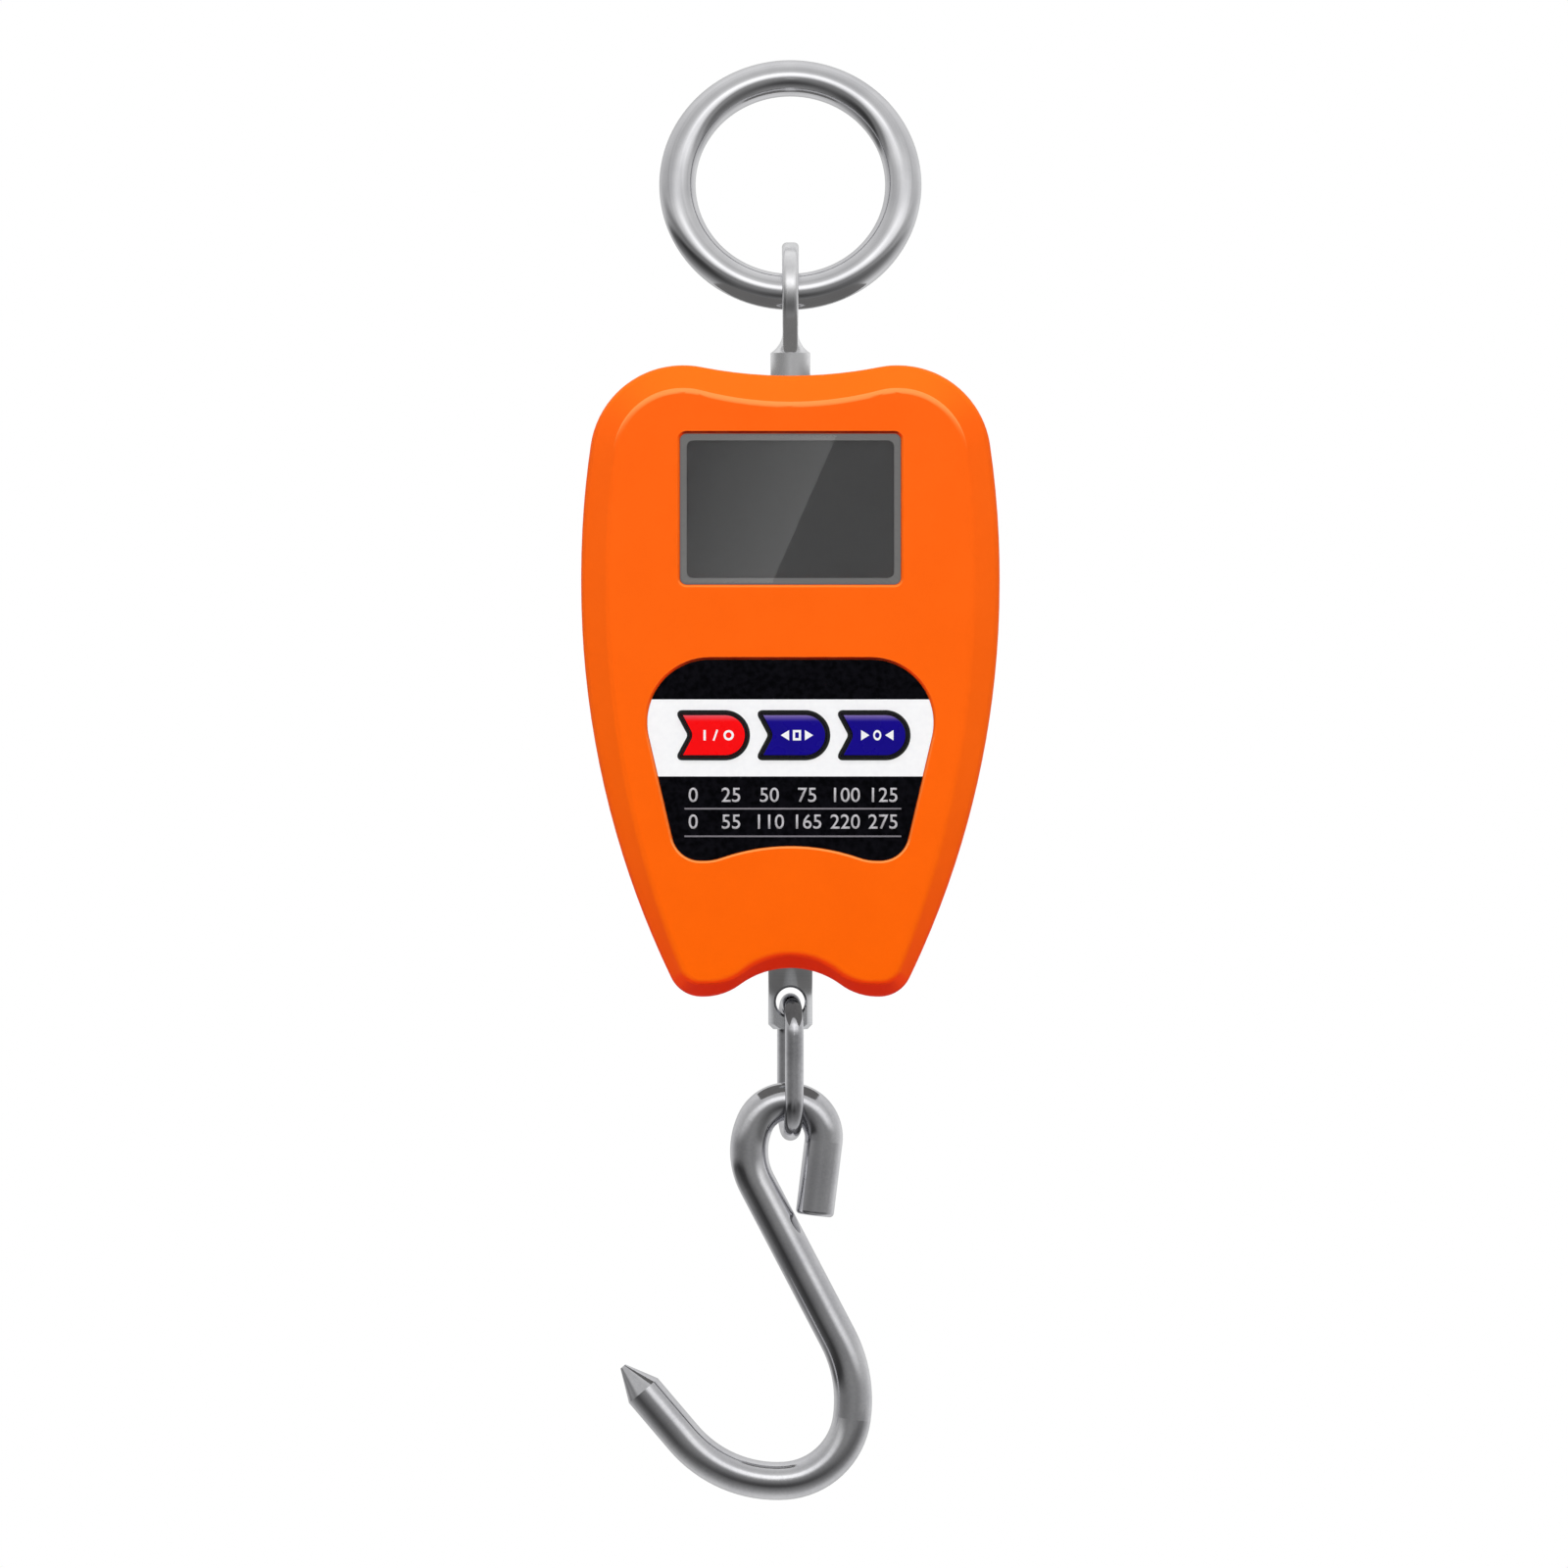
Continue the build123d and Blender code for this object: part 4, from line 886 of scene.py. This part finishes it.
makeWorld()
makeFloor()
for name, lamp in studio["lamps"].items():
    addLamp(name, lamp["place"], lamp["size"], lamp["power"], studio["aim"])

# A bright card that only gloss sees: the display shows its slanted edge
card = {
    "ahead": 1.0,  # in front of the display, in metres
    "edge": ((8.5, -12.8), (-3.25, -39.8)),  # where the slanted edge shows: across, and above the shell's top, in mm
    "left": -34.0, "overhang": 0.5,
    "strength": (0.3, 1.5), "fade": 27.0,  # brightest at the slanted edge
}


def cardPoint(x, z):
    # The place on the card that the camera sees reflected at this place of the display
    share = card["ahead"] / (windowLow.y - cameraObject.location.y)
    spot = Vector((x * mm, 0, shellTop + z * mm))
    return Vector((spot.x + (spot.x - cameraObject.location.x) * share, windowLow.y - card["ahead"],
                   spot.z + (spot.z - cameraObject.location.z) * share))


def makeCard():
    high, low = (cardPoint(*point) for point in card["edge"])
    run = high - low
    high, low = high + run * card["overhang"], low - run * card["overhang"]
    left = cardPoint(card["left"], 0).x
    bm = bmesh.new()
    flatFace(bm, [(high.x, high.z), (low.x, low.z), (left, low.z), (left, high.z)], low.y)
    material = bpy.data.materials.new("cardGlow")
    material.use_nodes = True
    tree = material.node_tree
    tree.nodes.remove(tree.nodes["Principled BSDF"])
    glow = addNode(tree, "ShaderNodeEmission", {"Color": (1, 1, 1, 1)})
    lean = run.angle(Vector((0, 0, 1)))
    turned = addNode(tree, "ShaderNodeMapping", {"Location": low, "Rotation": (0, lean, 0)}, vector_type="TEXTURE")
    tree.links.new(addNode(tree, "ShaderNodeTexCoord").outputs["Object"], turned.inputs["Vector"])
    across = axesOf(tree, turned.outputs["Vector"])["X"]
    strength = spread(tree, across, -card["fade"] * mm, 0.0, *card["strength"])
    tree.links.new(strength, glow.inputs["Strength"])
    tree.links.new(glow.outputs[0], tree.nodes["Material Output"].inputs["Surface"])
    piece = newObject("card", bm, material)
    for kind in ("camera", "diffuse", "transmission", "volume_scatter", "shadow"):
        setattr(piece, "visible_" + kind, False)


makeCard()
print("studio lit")
